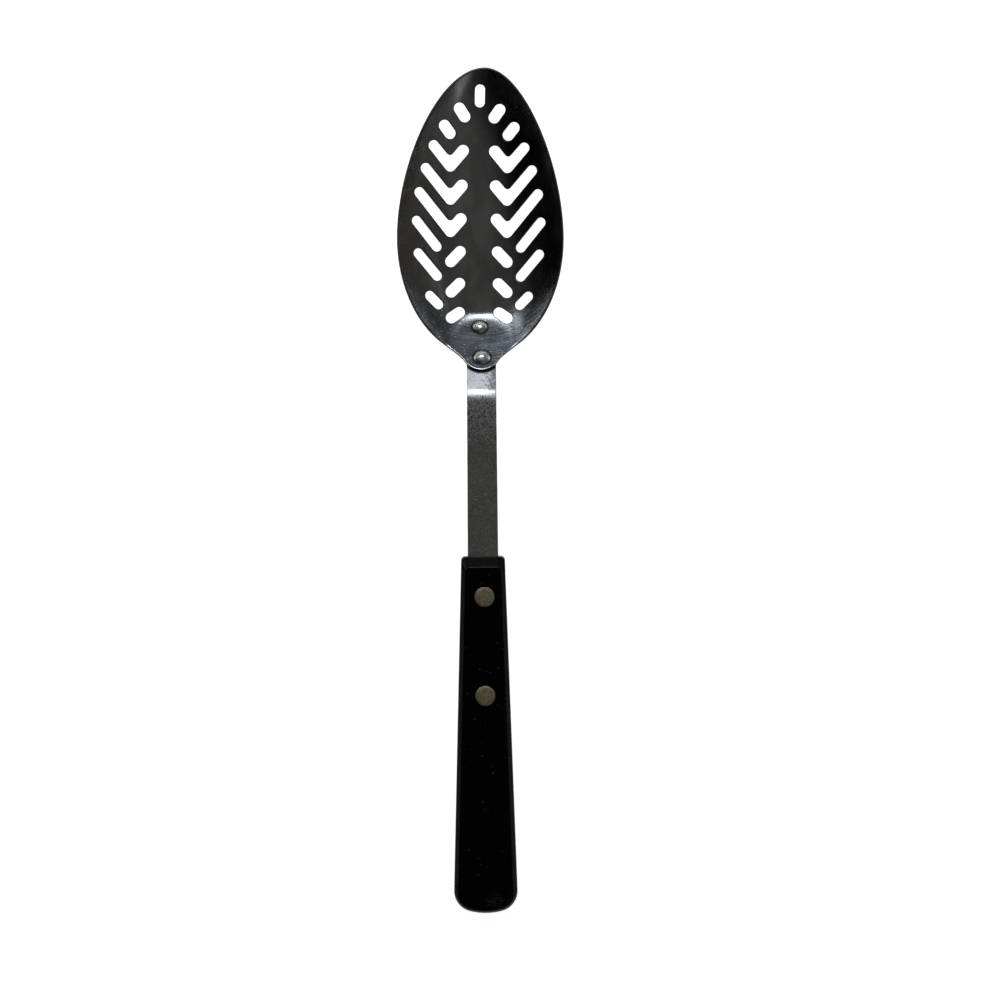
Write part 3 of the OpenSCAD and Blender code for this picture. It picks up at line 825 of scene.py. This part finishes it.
def scale_piece(name, way):
    """One scale: walls, worn bevels and top, with its channel and its stepped bores."""
    h, k, r = settings().handle, settings().shank, settings().rivets
    channel, ceiling, depth = k.rear_width / 2 + 0.1 * MM, k.thickness / 2 + SEAT, k.tang + 0.1 * MM
    in_by, behind = h.bevel_width + h.softening, h.nose_length + h.softening
    base = scale_plan(0, 0, h.butt_corner, channel)
    crest = scale_plan(h.bevel_width, h.nose_length, h.butt_corner - h.bevel_width, channel)
    inner = scale_plan(in_by, behind, h.butt_corner - h.bevel_width - h.softening, channel)
    count, last_notch = len(base), NOTCH_POINTS - 1
    rounder = np.clip((base[:, 1] - h.length) / h.butt_corner + 1.6, 0, 1) ** 2
    soft = (h.softening * (1 + 1.8 * rounder))[:, None]
    inner = crest + (inner - crest) * soft / h.softening
    top_z, inner_z = (scale_thickness(np.minimum(plan[:, 1], taper_length())) for plan in (crest, inner))
    frontness = np.clip(1 - base[:, 1] / (h.front_corner * 1.5), 0, 1)
    frontness[:NOTCH_POINTS] = 1
    wall_z = top_z - (h.bevel_height + (h.nose_height - h.bevel_height) * frontness)
    wall, edge = np.column_stack([base, wall_z]), np.column_stack([crest, top_z])
    slope = unit_rows(edge - wall)
    seam = 0.15 * MM
    seam_plan = base + unit_rows(crest - base) * seam
    verts = [np.column_stack([seam_plan, np.zeros(count)]), np.column_stack([base, np.full(count, seam)]),
             np.column_stack([base, np.full(count, ceiling)])]
    verts += rounded(np.column_stack([base, wall_z - soft[:, 0]]), wall, wall + slope * soft)
    verts += rounded(edge - slope * soft, edge, np.column_stack([inner, inner_z]))
    top = (len(verts) - 1) * count
    faces = []
    for start in range(0, top, count):
        faces += band(start, start + count, count, last_notch if start < 2 * count else 0)

    def add(points):
        """Adds points and returns the first one's number."""
        first = sum(len(v) for v in verts)
        verts.append(np.array(points, float))
        return first

    def fill(plan, ids, holes, up):
        """Fills a plan, whose points have these numbers, but not its holes."""
        for first, loop in holes:
            ids = ids + list(range(first, first + len(loop)))
        for t in filled(plan, [loop for _, loop in holes]):
            faces.append([ids[i] for i in (t if up else t[::-1])])

    circle = arc((0, 0), 1, 0, 352.5, 7.5)
    head_r, tube_r, lip = r.head / 2 + CLEARANCE, r.tube / 2 + CLEARANCE, 0.08 * MM
    tops, ceilings = [], []
    for _, at in handle_rivets():
        z = scale_thickness(at)
        step = z - r.head_thickness
        spots = ((head_r + lip, z), (head_r, z - lip), (head_r, step), (tube_r, step), (tube_r, ceiling))
        loops = [circle * radius + [r.handle_shift, at] for radius, _ in spots]
        heights = [np.full(len(circle), height) for _, height in spots]
        heights[0] = scale_thickness(loops[0][:, 1])
        firsts = [add(np.column_stack(ring)) for ring in zip(loops, heights)]
        for low, high in zip(firsts, firsts[1:]):
            faces += band(low, high, len(circle))
        tops.append((firsts[0], loops[0]))
        ceilings.append((firsts[-1], loops[-1]))
    fill(inner, list(range(top, top + count)), tops, True)

    low = add([(channel, depth, 0), (-channel, depth, 0)])
    high = add([(channel, depth, ceiling), (-channel, depth, ceiling)])
    plan = np.vstack([seam_plan[last_notch:], seam_plan[:1], [(-channel, depth), (channel, depth)]])
    fill(plan, [*range(last_notch, count), 0, low + 1, low], [], False)
    plan = np.vstack([base[:NOTCH_POINTS], [(channel, depth), (-channel, depth)]])
    fill(plan, [*range(2 * count, 2 * count + NOTCH_POINTS), high, high + 1], ceilings, False)
    faces += [[last_notch, count + last_notch, 2 * count + last_notch, high, low],
              [0, low + 1, high + 1, 2 * count, count], [low, high, high + 1, low + 1]]

    origin, ax, ay, az = handle_frame()
    placed = [origin + ax * x - ay * v + az * z * way for x, v, z in np.vstack(verts)]
    if way > 0:
        faces = [face[::-1] for face in faces]
    piece = new_piece(name, placed, faces, None, [handle_black()])
    piece.data.set_sharp_from_angle(angle=math.radians(32))
    flats = piece.modifiers.new("Keep flats", "WEIGHTED_NORMAL")
    flats.keep_sharp = True
    flats.weight = 80
    return piece


class SPOON_OT_handle_rivets(bpy.types.Operator):
    """Build the tube and pin halves of the two cutlery rivets"""

    bl_idname = "spoon.handle_rivets"
    bl_label = "Handle Rivets"

    def execute(self, context):
        r = settings().rivets
        origin, ax, ay, az = handle_frame()
        gap, edge, crown = 0.3 * MM, 0.15 * MM, 0.06 * MM
        tube, hollow, pin, head = r.tube / 2, r.tube_pin / 2 + CLEARANCE, r.tube_pin / 2, r.head / 2
        for place, at in handle_rivets():
            low = scale_thickness(at) - r.head_thickness + SEAT
            high, end, deep = low + r.head_thickness, low - (2 * low - gap), low + r.head_thickness / 2
            cap = [(head, low), (head, high - edge - crown), (head - edge * 0.3, high - edge * 0.3 - crown),
                   (head - edge, high - crown), (head * 0.6, high - crown * 0.4),
                   (head * 0.3, high - crown * 0.1), (0, high)]
            spot = origin + ax * r.handle_shift - ay * at
            for half, way, shaft in (
                    ("tube", 1, [(0, deep), (hollow, deep), (hollow, end), (tube, end), (tube, low)]),
                    ("pin", -1, [(0, end), (pin, end), (pin, low)])):
                base = (spot, ax, ay * way, az * way)
                piece = lathe_piece(f"rivet_{half}_{place}", shaft + cap, base, handle_rivet())
                mount(piece, [f"rivet_{place}_{half}"])
        return {"FINISHED"}


class Value:
    """A value in a node tree, which can be added, subtracted and multiplied; a | b is the larger one."""

    def __init__(self, nodes, socket):
        self.nodes = nodes
        self.socket = socket

    def __add__(self, other):
        return self.nodes.math("ADD", self, other)

    def __sub__(self, other):
        return self.nodes.math("SUBTRACT", self, other)

    def __mul__(self, other):
        return self.nodes.math("MULTIPLY", self, other)

    def __or__(self, other):
        return self.nodes.math("MAXIMUM", self, other)

    def __abs__(self):
        return self.nodes.math("ABSOLUTE", self)


class Recipe:
    """Shader nodes of one material or world, by short calls."""

    def __init__(self, owner, output="OutputMaterial"):
        owner.use_nodes = True
        self.owner = owner
        self.tree = owner.node_tree
        self.tree.nodes.clear()
        self.out = self.node(output)
        self.coords = self.node("TexCoord")

    def node(self, kind, inputs=(), **settings):
        """A node with these settings, and with values or links on its inputs."""
        n = self.tree.nodes.new("ShaderNode" + kind)
        for name, value in settings.items():
            setattr(n, name, value)
        for key, value in (inputs.items() if isinstance(inputs, dict) else enumerate(inputs)):
            if isinstance(value, Value):
                self.tree.links.new(value.socket, n.inputs[key])
            else:
                n.inputs[key].default_value = value
        return n

    def value(self, kind, output, inputs, **settings):
        """An output of a new node."""
        return Value(self, self.node(kind, inputs, **settings).outputs[output])

    def show(self, kind, inputs):
        """Ends the recipe with a shader, and returns the material or world."""
        self.tree.links.new(self.node(kind, inputs).outputs[0], self.out.inputs["Surface"])
        return self.owner

    def mapped(self, scale=(1, 1, 1), turn=0, shift=(0, 0, 0)):
        """The object's coordinates in millimetres, scaled, turned about Z by degrees and shifted."""
        return self.value("Mapping", 0, {"Vector": Value(self, self.coords.outputs["Object"]),
                                         "Scale": [1000 * v for v in scale],
                                         "Rotation": (0, 0, math.radians(turn)), "Location": shift})

    def noise(self, vector, scale, detail=3, rough=0.55, distortion=0.0):
        """Soft noise on coordinates."""
        return self.value("TexNoise", "Fac", {"Vector": vector, "Scale": scale, "Detail": detail,
                                              "Roughness": rough, "Distortion": distortion})

    def wave(self, value, scale):
        """Noise along one value, such as a distance."""
        inputs = {"W": value, "Scale": scale, "Detail": 3}
        return self.value("TexNoise", "Fac", inputs, noise_dimensions="1D")

    def grains(self, scale, detail=3, rough=0.6):
        """Soft noise, the same in every direction."""
        return self.noise(self.mapped(), scale, detail, rough)

    def cells(self, scale, turn=0):
        """Distance from the nearest of many scattered points."""
        return self.value("TexVoronoi", "Distance", {"Vector": self.mapped(turn=turn), "Scale": scale})

    def ramp(self, value, low, high, to_low=0.0, to_high=1.0):
        """A smooth step from low to high."""
        inputs = (value, low, high, to_low, to_high)
        return self.value("MapRange", 0, inputs, interpolation_type="SMOOTHSTEP")

    def math(self, kind, a, b=0.0):
        """One step of arithmetic."""
        return self.value("Math", 0, (a, b), operation=kind)

    def blend(self, fac, a, b):
        """From colour a to colour b."""
        return self.value("Mix", 2, {0: fac, 6: a, 7: b}, data_type="RGBA")

    def shades(self, c, value, low, high, dark, light):
        """From a darker to a lighter shade of a colour, as a value goes from low to high."""
        return self.blend(self.ramp(value, low, high), full(c, dark), full(c, light))

    def bump(self, height, distance):
        """Normals of a fine relief."""
        return self.value("Bump", 0, {"Height": height, "Distance": distance})

    def far(self, point, scale=(1, 1, 1)):
        """Distance from a point, in scaled millimetres."""
        inputs = (self.mapped(scale), [v / MM * k for v, k in zip(point, scale)])
        return self.value("VectorMath", "Value", inputs, operation="DISTANCE")

    def along(self, point, way):
        """Distance from a point along a direction, in millimetres."""
        inputs = (self.mapped(), way)
        return self.value("VectorMath", "Value", inputs, operation="DOT_PRODUCT") - point.dot(way) / MM

    def split(self, vector):
        """The three parts of a vector."""
        return [Value(self, socket) for socket in self.node("SeparateXYZ", [vector]).outputs]

    def metal(self, tone, rough, height, relief):
        """Ends the recipe with a metal whose relief is given in millimetres."""
        return self.show("BsdfPrincipled", {"Base Color": tone, "Metallic": 1.0, "Roughness": rough,
                                            "Normal": self.bump(height, relief * MM)})


def material(name, base):
    """The recipe of a new material and its base colour with alpha."""
    return Recipe(bpy.data.materials.new(name)), full(base)


def tinted(c, red, green, blue):
    """A colour with alpha, with its parts made lighter or darker."""
    return (c[0] * red, c[1] * green, c[2] * blue, 1)


def full(c, factor=1.0):
    """A colour with alpha, made lighter or darker."""
    return tinted(c, factor, factor, factor)


def largest(values):
    """The largest of some values."""
    return reduce(Value.__or__, values)


def scratches(r, scale, turns, low, high):
    """Fine scratches in several directions, as a factor."""
    lines = (r.noise(r.mapped((1.0, 0.045, 0.3), turn, (7.3 * i, 3.1 * i, 0)), scale, 2, 0.5)
             for i, turn in enumerate(turns))
    return largest(r.ramp(line, low, high) for line in lines)


def bowl_steel():
    """Pressed steel, glossy in the dish and dulled on the heel and the tip, with painted shade round the
    rivets and on the right wall, and painted sheen, glints and reflection on the heel, the middle and the
    left wall.
    """
    r, c = material("bowl_steel", settings().finish.bowl_steel)
    cold, cool = tinted(c, 0.93, 1, 1.08), tinted(c, 0.96, 1.01, 1)
    w = settings().bowl
    x, y, z = r.split(r.mapped())
    v = y - TAB_Y / MM
    haze = r.noise(r.mapped((0.6, 1, 1), -35), 0.24, 1.5, 0.5, 0.4)
    edge = v - x * x * 0.018 + r.ramp(haze, 0.3, 0.7, -1.2, 1.2) + r.ramp(x, 10, 22, 0, 3.5)
    heel = r.ramp(edge, w.heel_length / MM - 1.5, w.heel_length / MM + 4.5, 1, 0)
    tip = r.ramp(v, 84, 104) * r.ramp(x, 3, 12, 1, 0.3)
    cloud = r.noise(r.mapped((1, 0.55, 1)), 0.09, 4, 0.6, 0.8)
    brush = r.noise(r.mapped((1, 0.05, 0.3), 6), 1.1, 3, 0.6)
    grain = r.grains(1.6)
    lines = scratches(r, 2.2, (8, 52, -37), 0.66, 0.78)
    specks = r.ramp(r.cells(0.62), 0.05, 0.16, 1, 0)
    grit = r.grains(4.5, 2, 0.7)
    glints = r.ramp(r.cells(0.7), 0.08, 0.22, 1, 0)
    arcs = r.wave(r.far((0, TAB_Y + w.widest_at, 0), (1, 1, 0)) + grain * 0.9, 1.5)
    rough = r.ramp(cloud, 0.35, 0.7, 0.13, 0.19) + r.ramp(brush, 0.35, 0.7, -0.01, 0.03)
    rough += lines * 0.05
    rough += tip * r.ramp(brush, 0.35, 0.65, 0.03, 0.1)
    rough += r.ramp(v, 80, 96) * r.ramp(x, 2, 8, 0, 0.12)
    dull = r.ramp(haze, 0.35, 0.65, 0.24, 0.28) + r.ramp(arcs, 0.4, 0.62, -0.02, 0.03)
    rough = r.ramp(heel, 0, 1, rough, dull)
    tone = r.shades(c, cloud, 0.3, 0.75, 0.7, 1.1)
    # Painted reflection: the left wall is made darker and warmer.
    tint_mask = r.ramp(x, -26, -14, 1, 0) * r.ramp(haze, 0.3, 0.65, 0.25, 1)
    tone = r.blend(tint_mask, tone, tinted(c, 0.74, 0.69, 0.59))
    # Painted sheen: the middle of the dish is made lighter and cooler.
    middle = r.ramp(v, 42, 58) * r.ramp(v, 78, 92, 1, 0) * r.ramp(abs(x), 7, 15, 1, 0)
    tone = r.blend(middle, tone, r.shades(cool, cloud, 0.3, 0.75, 0.9, 1.35))
    tone = r.blend(specks * 0.25, tone, full(c, 0.35))
    tone_and_sheen = r.shades(cold, haze, 0.3, 0.7, 0.66, 0.86)
    # Painted sheen on the heel's right side and far left, and painted shade on its centre-left.
    tone_and_sheen = r.blend(r.ramp(x, 3, 14, 0, 0.85), tone_and_sheen, full(cold, 1.7))
    tone_and_sheen = r.blend(r.ramp(x, -21, -15, 0.6, 0), tone_and_sheen, full(cold, 1.3))
    tone_and_sheen = r.blend(r.ramp(x, -14, 6, 0.35, 0) * r.ramp(x, -19, -13), tone_and_sheen, full(cold, 0.3))
    tone_and_sheen = r.blend(r.ramp(arcs, 0.4, 0.6, r.ramp(x, -4, 14, 0.2, 0.55), 0), tone_and_sheen, full(cold, 0.45))
    tone_and_sheen = r.blend(r.ramp(grit, 0.38, 0.58), full(cold, 0.28), tone_and_sheen)
    # Painted glints: small bright spots on the heel.
    tone_and_sheen = r.blend(glints, tone_and_sheen, full(c, 2.1))
    # Painted shade: the upper walls on the right, past the heel, are darkened.
    rim = r.ramp(z, 7, 12.5) * r.ramp(x, -10, 25, 0, 0.75)
    tone = r.blend(rim * r.ramp(v, 20, 36), tone, full(c, 0.1))
    tone = r.blend(heel, tone, tone_and_sheen)
    # Painted shade: dark rings on the heel round the rivet domes.
    dome_shade_rings = []
    for _, aside, at, dome in bowl_rivets():
        origin, _, _, out = heel_frame(aside, at)
        edge = dome / 2 / MM
        dome_shade_rings.append(r.ramp(r.far(origin + out * w.sheet), edge + 0.2, edge + 0.8, 1, 0))
    tone = r.blend(largest(dome_shade_rings) * 0.9, tone, full(c, 0.06))
    height = grain * 0.06 + lines * -0.2 + heel * (grit + arcs * 0.4)
    return r.metal(tone, rough, height, 0.009)


def shaded_cut_edge_steel():
    """Punched edge of the sheet, duller than its faces, and darker by painted shade."""
    r, c = material("shaded_cut_edge_steel", settings().finish.bowl_steel)
    grain = r.noise(r.mapped((1, 1, 0.2)), 2.5, 3, 0.6)
    tone = r.blend(grain, full(c, 0.12), full(c, 0.3))
    return r.metal(tone, r.ramp(grain, 0.3, 0.7, 0.35, 0.5), grain, 0.02)


def rim_highlight_steel():
    """Rounding of the sheet's edge round the tab, lightened by a painted highlight."""
    r, c = material("rim_highlight_steel", settings().finish.bowl_steel)
    grain = r.grains(0.9)
    tone = r.shades(c, grain, 0.35, 0.6, 1.3, 2.05)
    return r.metal(tone, r.ramp(grain, 0.3, 0.7, 0.2, 0.3), grain, 0.01)


def strap_steel():
    """Satin steel of the strap, scratched along its length and stained on its slope, with a painted shadow
    behind the tab's end.
    """
    r, c = material("strap_steel", settings().finish.strap_steel)
    warm = tinted(c, 1, 1, 0.89)
    b, k = settings().bowl, settings().shank
    x, y, z = r.split(r.mapped())
    mottle = r.grains(1.5, 4, 0.65)
    cloud = r.grains(0.16, 3, 0.5)
    tint_mask = r.noise(r.mapped(turn=30, shift=(3, 1, 0)), 1.1, 5, 0.75)
    tint_mask += r.ramp(x, 0.5, 4.5, 0.06, -0.1)
    lines = scratches(r, 1.9, (14, -48, 80), 0.68, 0.8)
    bend = (TAB_Y - k.bend_back) / MM
    front = r.ramp(y, bend - 1.5, TAB_Y / MM - 5.5)
    blotch = r.ramp(mottle, 0.38, 0.62)
    calm = r.blend(blotch, full(warm, 0.8), full(warm, 1.18))
    tone = r.blend(r.ramp(y, bend - 22, bend - 4), calm, r.blend(blotch, full(c, 0.6), full(c, 2.05)))
    trail = r.ramp(abs(r.noise(r.mapped((1, 0.6, 1)), 0.22, 3, 0.6) - 0.5), 0.004, 0.025, 0.6, 0)
    trail *= r.ramp(y, bend - 24, bend - 14)
    specks = r.ramp(r.cells(0.4, 20), 0.06, 0.16, 0.8, 0)
    tone = r.blend(trail | specks | lines * 0.55, tone, full(c, 1.9))
    tone = r.blend(front, tone, r.shades(c, tint_mask, 0.4, 0.55, 0.6, 1.75))
    # Painted shadow on the strap's upper face, just behind the round end of the tab.
    tan, tab = math.tan(b.heel_slope), b.tab_radius / MM
    face = (b.crease_height + tan * (b.heel_length + TAB_Y)) / MM
    upper = r.ramp(z + y * tan, face - 1.5, face - 0.5)
    round_tab = r.far((0, TAB_Y + b.tab_radius, 0), (1, 1, 0))
    tone = r.blend(upper * r.ramp(round_tab, tab + 0.3, tab + 1.1, 1, 0), tone, full(c, 0.04))
    rough = r.ramp(cloud, 0.35, 0.65, 0.36, 0.43) + lines * -0.08
    return r.metal(tone, rough, mottle + lines * 0.5, 0.05)


def rivet_steel():
    """Satin domes of the bowl rivets, slightly dented."""
    r, c = material("rivet_steel", settings().finish.rivet_steel)
    dents = r.grains(0.55, 2, 0.5)
    grain = r.grains(2.4)
    tone = r.shades(c, grain, 0.35, 0.65, 1.1, 1.5)
    return r.metal(tone, r.ramp(grain, 0.3, 0.7, 0.22, 0.34), dents + grain * 0.05, 0.25)


def handle_black():
    """Glossy black of the handle, with specks of dust, fine scratches, painted sheen on the bevels that
    fades to painted shade at the butt, and a lighter, rougher patch near the butt.
    """
    h = settings().handle
    r, c = material("handle_black", settings().finish.handle_black)
    grain = r.grains(1.4, 4, 0.6)
    cloud = r.grains(0.12)
    lines = scratches(r, 1.7, (4, -20), 0.7, 0.8)
    specks = r.ramp(r.cells(0.34), 0.05, 0.1, 1, 0)
    flakes = r.ramp(r.noise(r.mapped((1, 0.7, 1)), 1.5, 2, 0.5), 0.7, 0.77)
    dust = (specks | flakes) * r.ramp(cloud, 0.44, 0.54)
    origin, ax, ay, az = handle_frame()
    at = r.along(origin, -ay)
    top = at * (scale_thickness(1) - scale_thickness(0)) + h.front_thickness / MM
    below = top - abs(r.along(origin, az))
    # Painted sheen on the bevels and the nose, fading to painted shade towards the butt.
    bevel = r.ramp(below, 0.1, 0.4) * r.ramp(at, h.length / MM - 14, h.length / MM - 5, 1, 0.2)
    # A lighter, rougher patch near the butt.
    spot = origin + ax * 3 * MM - ay * (h.length - 4.6 * MM) + az * scale_thickness(h.length - 20 * MM)
    butt_patch = r.ramp(r.noise(r.mapped((0.5, 1, 1)), 1.2, 4, 0.7), 0.44, 0.6)
    butt_patch *= r.ramp(r.far(spot), 1.2, 4.2, 1, 0)
    # Colours of the painted sheen: darker on the nose, lighter on the long bevels.
    tone_and_sheen = r.ramp(at, h.nose_length / MM, h.nose_length / MM + 2)
    tone_and_sheen = r.blend(tone_and_sheen, (0.0095, 0.0095, 0.0085, 1), (0.023, 0.023, 0.02, 1))
    tone = r.blend(bevel, c, tone_and_sheen)
    tone = r.blend(dust * 0.8, tone, (0.12, 0.12, 0.115, 1))
    tone = r.blend(butt_patch * 0.6, tone, (0.05, 0.05, 0.05, 1))
    rough = r.ramp(cloud, 0.35, 0.65, 0.17, 0.24) + lines * 0.12 + butt_patch * 0.3
    return r.show("BsdfPrincipled", {
        "Base Color": tone,
        "Roughness": rough,
        "Specular IOR Level": 0.13,
        "Specular Tint": (1, 0.97, 0.88, 1),
        "Normal": r.bump(grain * 0.5 + lines * -0.5, 0.006 * MM),
    })


def handle_rivet():
    """Dull, mottled brass of the flush rivets."""
    r, c = material("handle_rivet", settings().finish.handle_rivet)
    mottle = r.grains(1.0, 4, 0.65)
    tone = r.shades(c, mottle, 0.38, 0.62, 0.87, 1.27)
    return r.metal(tone, r.ramp(mottle, 0.3, 0.7, 0.46, 0.56), mottle, 0.03)


def floor_material():
    """White floor that keeps a faint shadow."""
    r = Recipe(bpy.data.materials.new("floor_white"))
    path = r.node("LightPath").outputs
    seen = largest(Value(r, path[f"Is {kind} Ray"]) for kind in ("Camera", "Glossy", "Transmission"))
    glow = r.value("Emission", 0, {"Strength": seen * 0.96})
    matt = r.value("BsdfDiffuse", 0, {"Color": (0.75, 0.75, 0.75, 1)})
    return r.show("AddShader", (glow, matt))


class SPOON_OT_stage(bpy.types.Operator):
    """Set up the floor, the lamps, the world and the camera"""

    bl_idname = "spoon.stage"
    bl_label = "Stage"

    def execute(self, context):
        s = context.scene.spoon.stage
        half = s.floor_size / 2
        floor = new_piece("floor", [(-half, -half, 0), (half, -half, 0), (half, half, 0), (-half, half, 0)],
                          [[0, 1, 2, 3]], None, [floor_material()])
        cool = (0.93, 0.97, 1.0)
        self.softbox("window", s.window, 48, 96, (0.6, 0.36), cool)
        self.softbox("left_card", 1.1, 60, 135, (0.45, 0.45), cool)
        self.softbox("right_card", 0.2, 57, 30, (0.4, 0.4), cool)
        self.softbox("front_card", 0.34, 68, -54, (0.4, 0.36))
        self.world(context)
        data = bpy.data.cameras.new("camera")
        data.lens = s.lens
        data.sensor_width = 36
        data.clip_end = 100
        camera = bpy.data.objects.new("camera", data)
        camera.location = (s.camera_x, s.camera_y, s.camera_height)
        camera.rotation_euler = (0, 0, s.camera_roll)
        context.scene.collection.objects.link(camera)
        context.scene.camera = camera
        context.scene.view_settings.view_transform = "Standard"
        return {"FINISHED"}

    def softbox(self, name, radiance, from_top, azimuth, size, tint=(1, 1, 1)):
        """A rectangular lamp that looks at the bowl, placed by its angle from the zenith and from +X."""
        target, distance = Vector((0, 0.06, 0)), 1.3
        a, z = math.radians(azimuth), math.radians(from_top)
        way = Vector((math.cos(a) * math.sin(z), math.sin(a) * math.sin(z), math.cos(z)))
        lamp = bpy.data.lights.new(name, "AREA")
        lamp.shape = "RECTANGLE"
        lamp.size, lamp.size_y = size
        lamp.color = tint
        lamp.energy = radiance * math.pi * size[0] * size[1]
        piece = bpy.data.objects.new(name, lamp)
        piece.location = target + way * distance
        piece.rotation_mode = "QUATERNION"
        piece.rotation_quaternion = way.to_track_quat("Z", "Y")
        bpy.context.scene.collection.objects.link(piece)

    def world(self, context):
        """A dim room: darkest on the left and in front, warm on the right and cool beyond the tip."""
        context.scene.world = bpy.data.worlds.new("studio")
        r = Recipe(context.scene.world, "OutputWorld")
        x, y, _ = r.split(Value(r, r.coords.outputs["Generated"]))
        room = r.ramp(x * -0.85 + y * -0.65, 0.0, 0.8, 0.078, 0.003)
        beyond = r.ramp(y, 0.5, 0.95, 0.0, 0.08)
        tint = r.blend(r.ramp(y, 0.3, 0.9), (1.0, 0.98, 0.94, 1), (0.84, 0.94, 1.12, 1))
        r.show("Background", {"Color": tint, "Strength": room + beyond})


class SpoonSettings(bpy.types.PropertyGroup):
    """All settings of the spoon and its stage."""

    bowl: PointerProperty(type=BowlSettings, name="Bowl", description="Sizes of the bowl")
    shank: PointerProperty(type=ShankSettings, name="Shank", description="Sizes of the strap")
    handle: PointerProperty(type=HandleSettings, name="Handle", description="Sizes of the handle scales")
    rivets: PointerProperty(type=RivetSettings, name="Rivets", description="Sizes of the rivets")
    finish: PointerProperty(type=FinishSettings, name="Finish", description="Colours of the finishes")
    stage: PointerProperty(type=StageSettings, name="Stage", description="Camera, lamps and floor")


class SPOON_PT_panel(bpy.types.Panel):
    """Settings and steps of the spoon"""

    bl_idname = "SPOON_PT_panel"
    bl_label = "Slotted Serving Spoon"
    bl_space_type = "VIEW_3D"
    bl_region_type = "UI"
    bl_category = "Spoon"

    def draw(self, context):
        s = context.scene.spoon
        for step, group in zip(STEPS, (s.bowl, s.shank, s.rivets, s.handle, s.finish, s.stage)):
            box = self.layout.box()
            box.operator(step.bl_idname)
            for name in group.__annotations__:
                box.prop(group, name)


SETTINGS = (BowlSettings, ShankSettings, HandleSettings, RivetSettings, FinishSettings, StageSettings,
            SpoonSettings)
STEPS = (SPOON_OT_bowl, SPOON_OT_shank, SPOON_OT_bowl_rivets, SPOON_OT_handle_scales,
         SPOON_OT_handle_rivets, SPOON_OT_stage)


def register():
    for c in (*SETTINGS, *STEPS, SPOON_PT_panel):
        bpy.utils.register_class(c)
    bpy.types.Scene.spoon = PointerProperty(type=SpoonSettings)


def unregister():
    del bpy.types.Scene.spoon
    for c in reversed((*SETTINGS, *STEPS, SPOON_PT_panel)):
        bpy.utils.unregister_class(c)


def main():
    """Build every piece and the stage."""
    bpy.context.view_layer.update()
    register()
    bpy.ops.spoon.bowl()
    bpy.ops.spoon.shank()
    bpy.ops.spoon.bowl_rivets()
    bpy.ops.spoon.handle_scales()
    bpy.ops.spoon.handle_rivets()
    bpy.ops.spoon.stage()


if __name__ == "__main__":
    main()
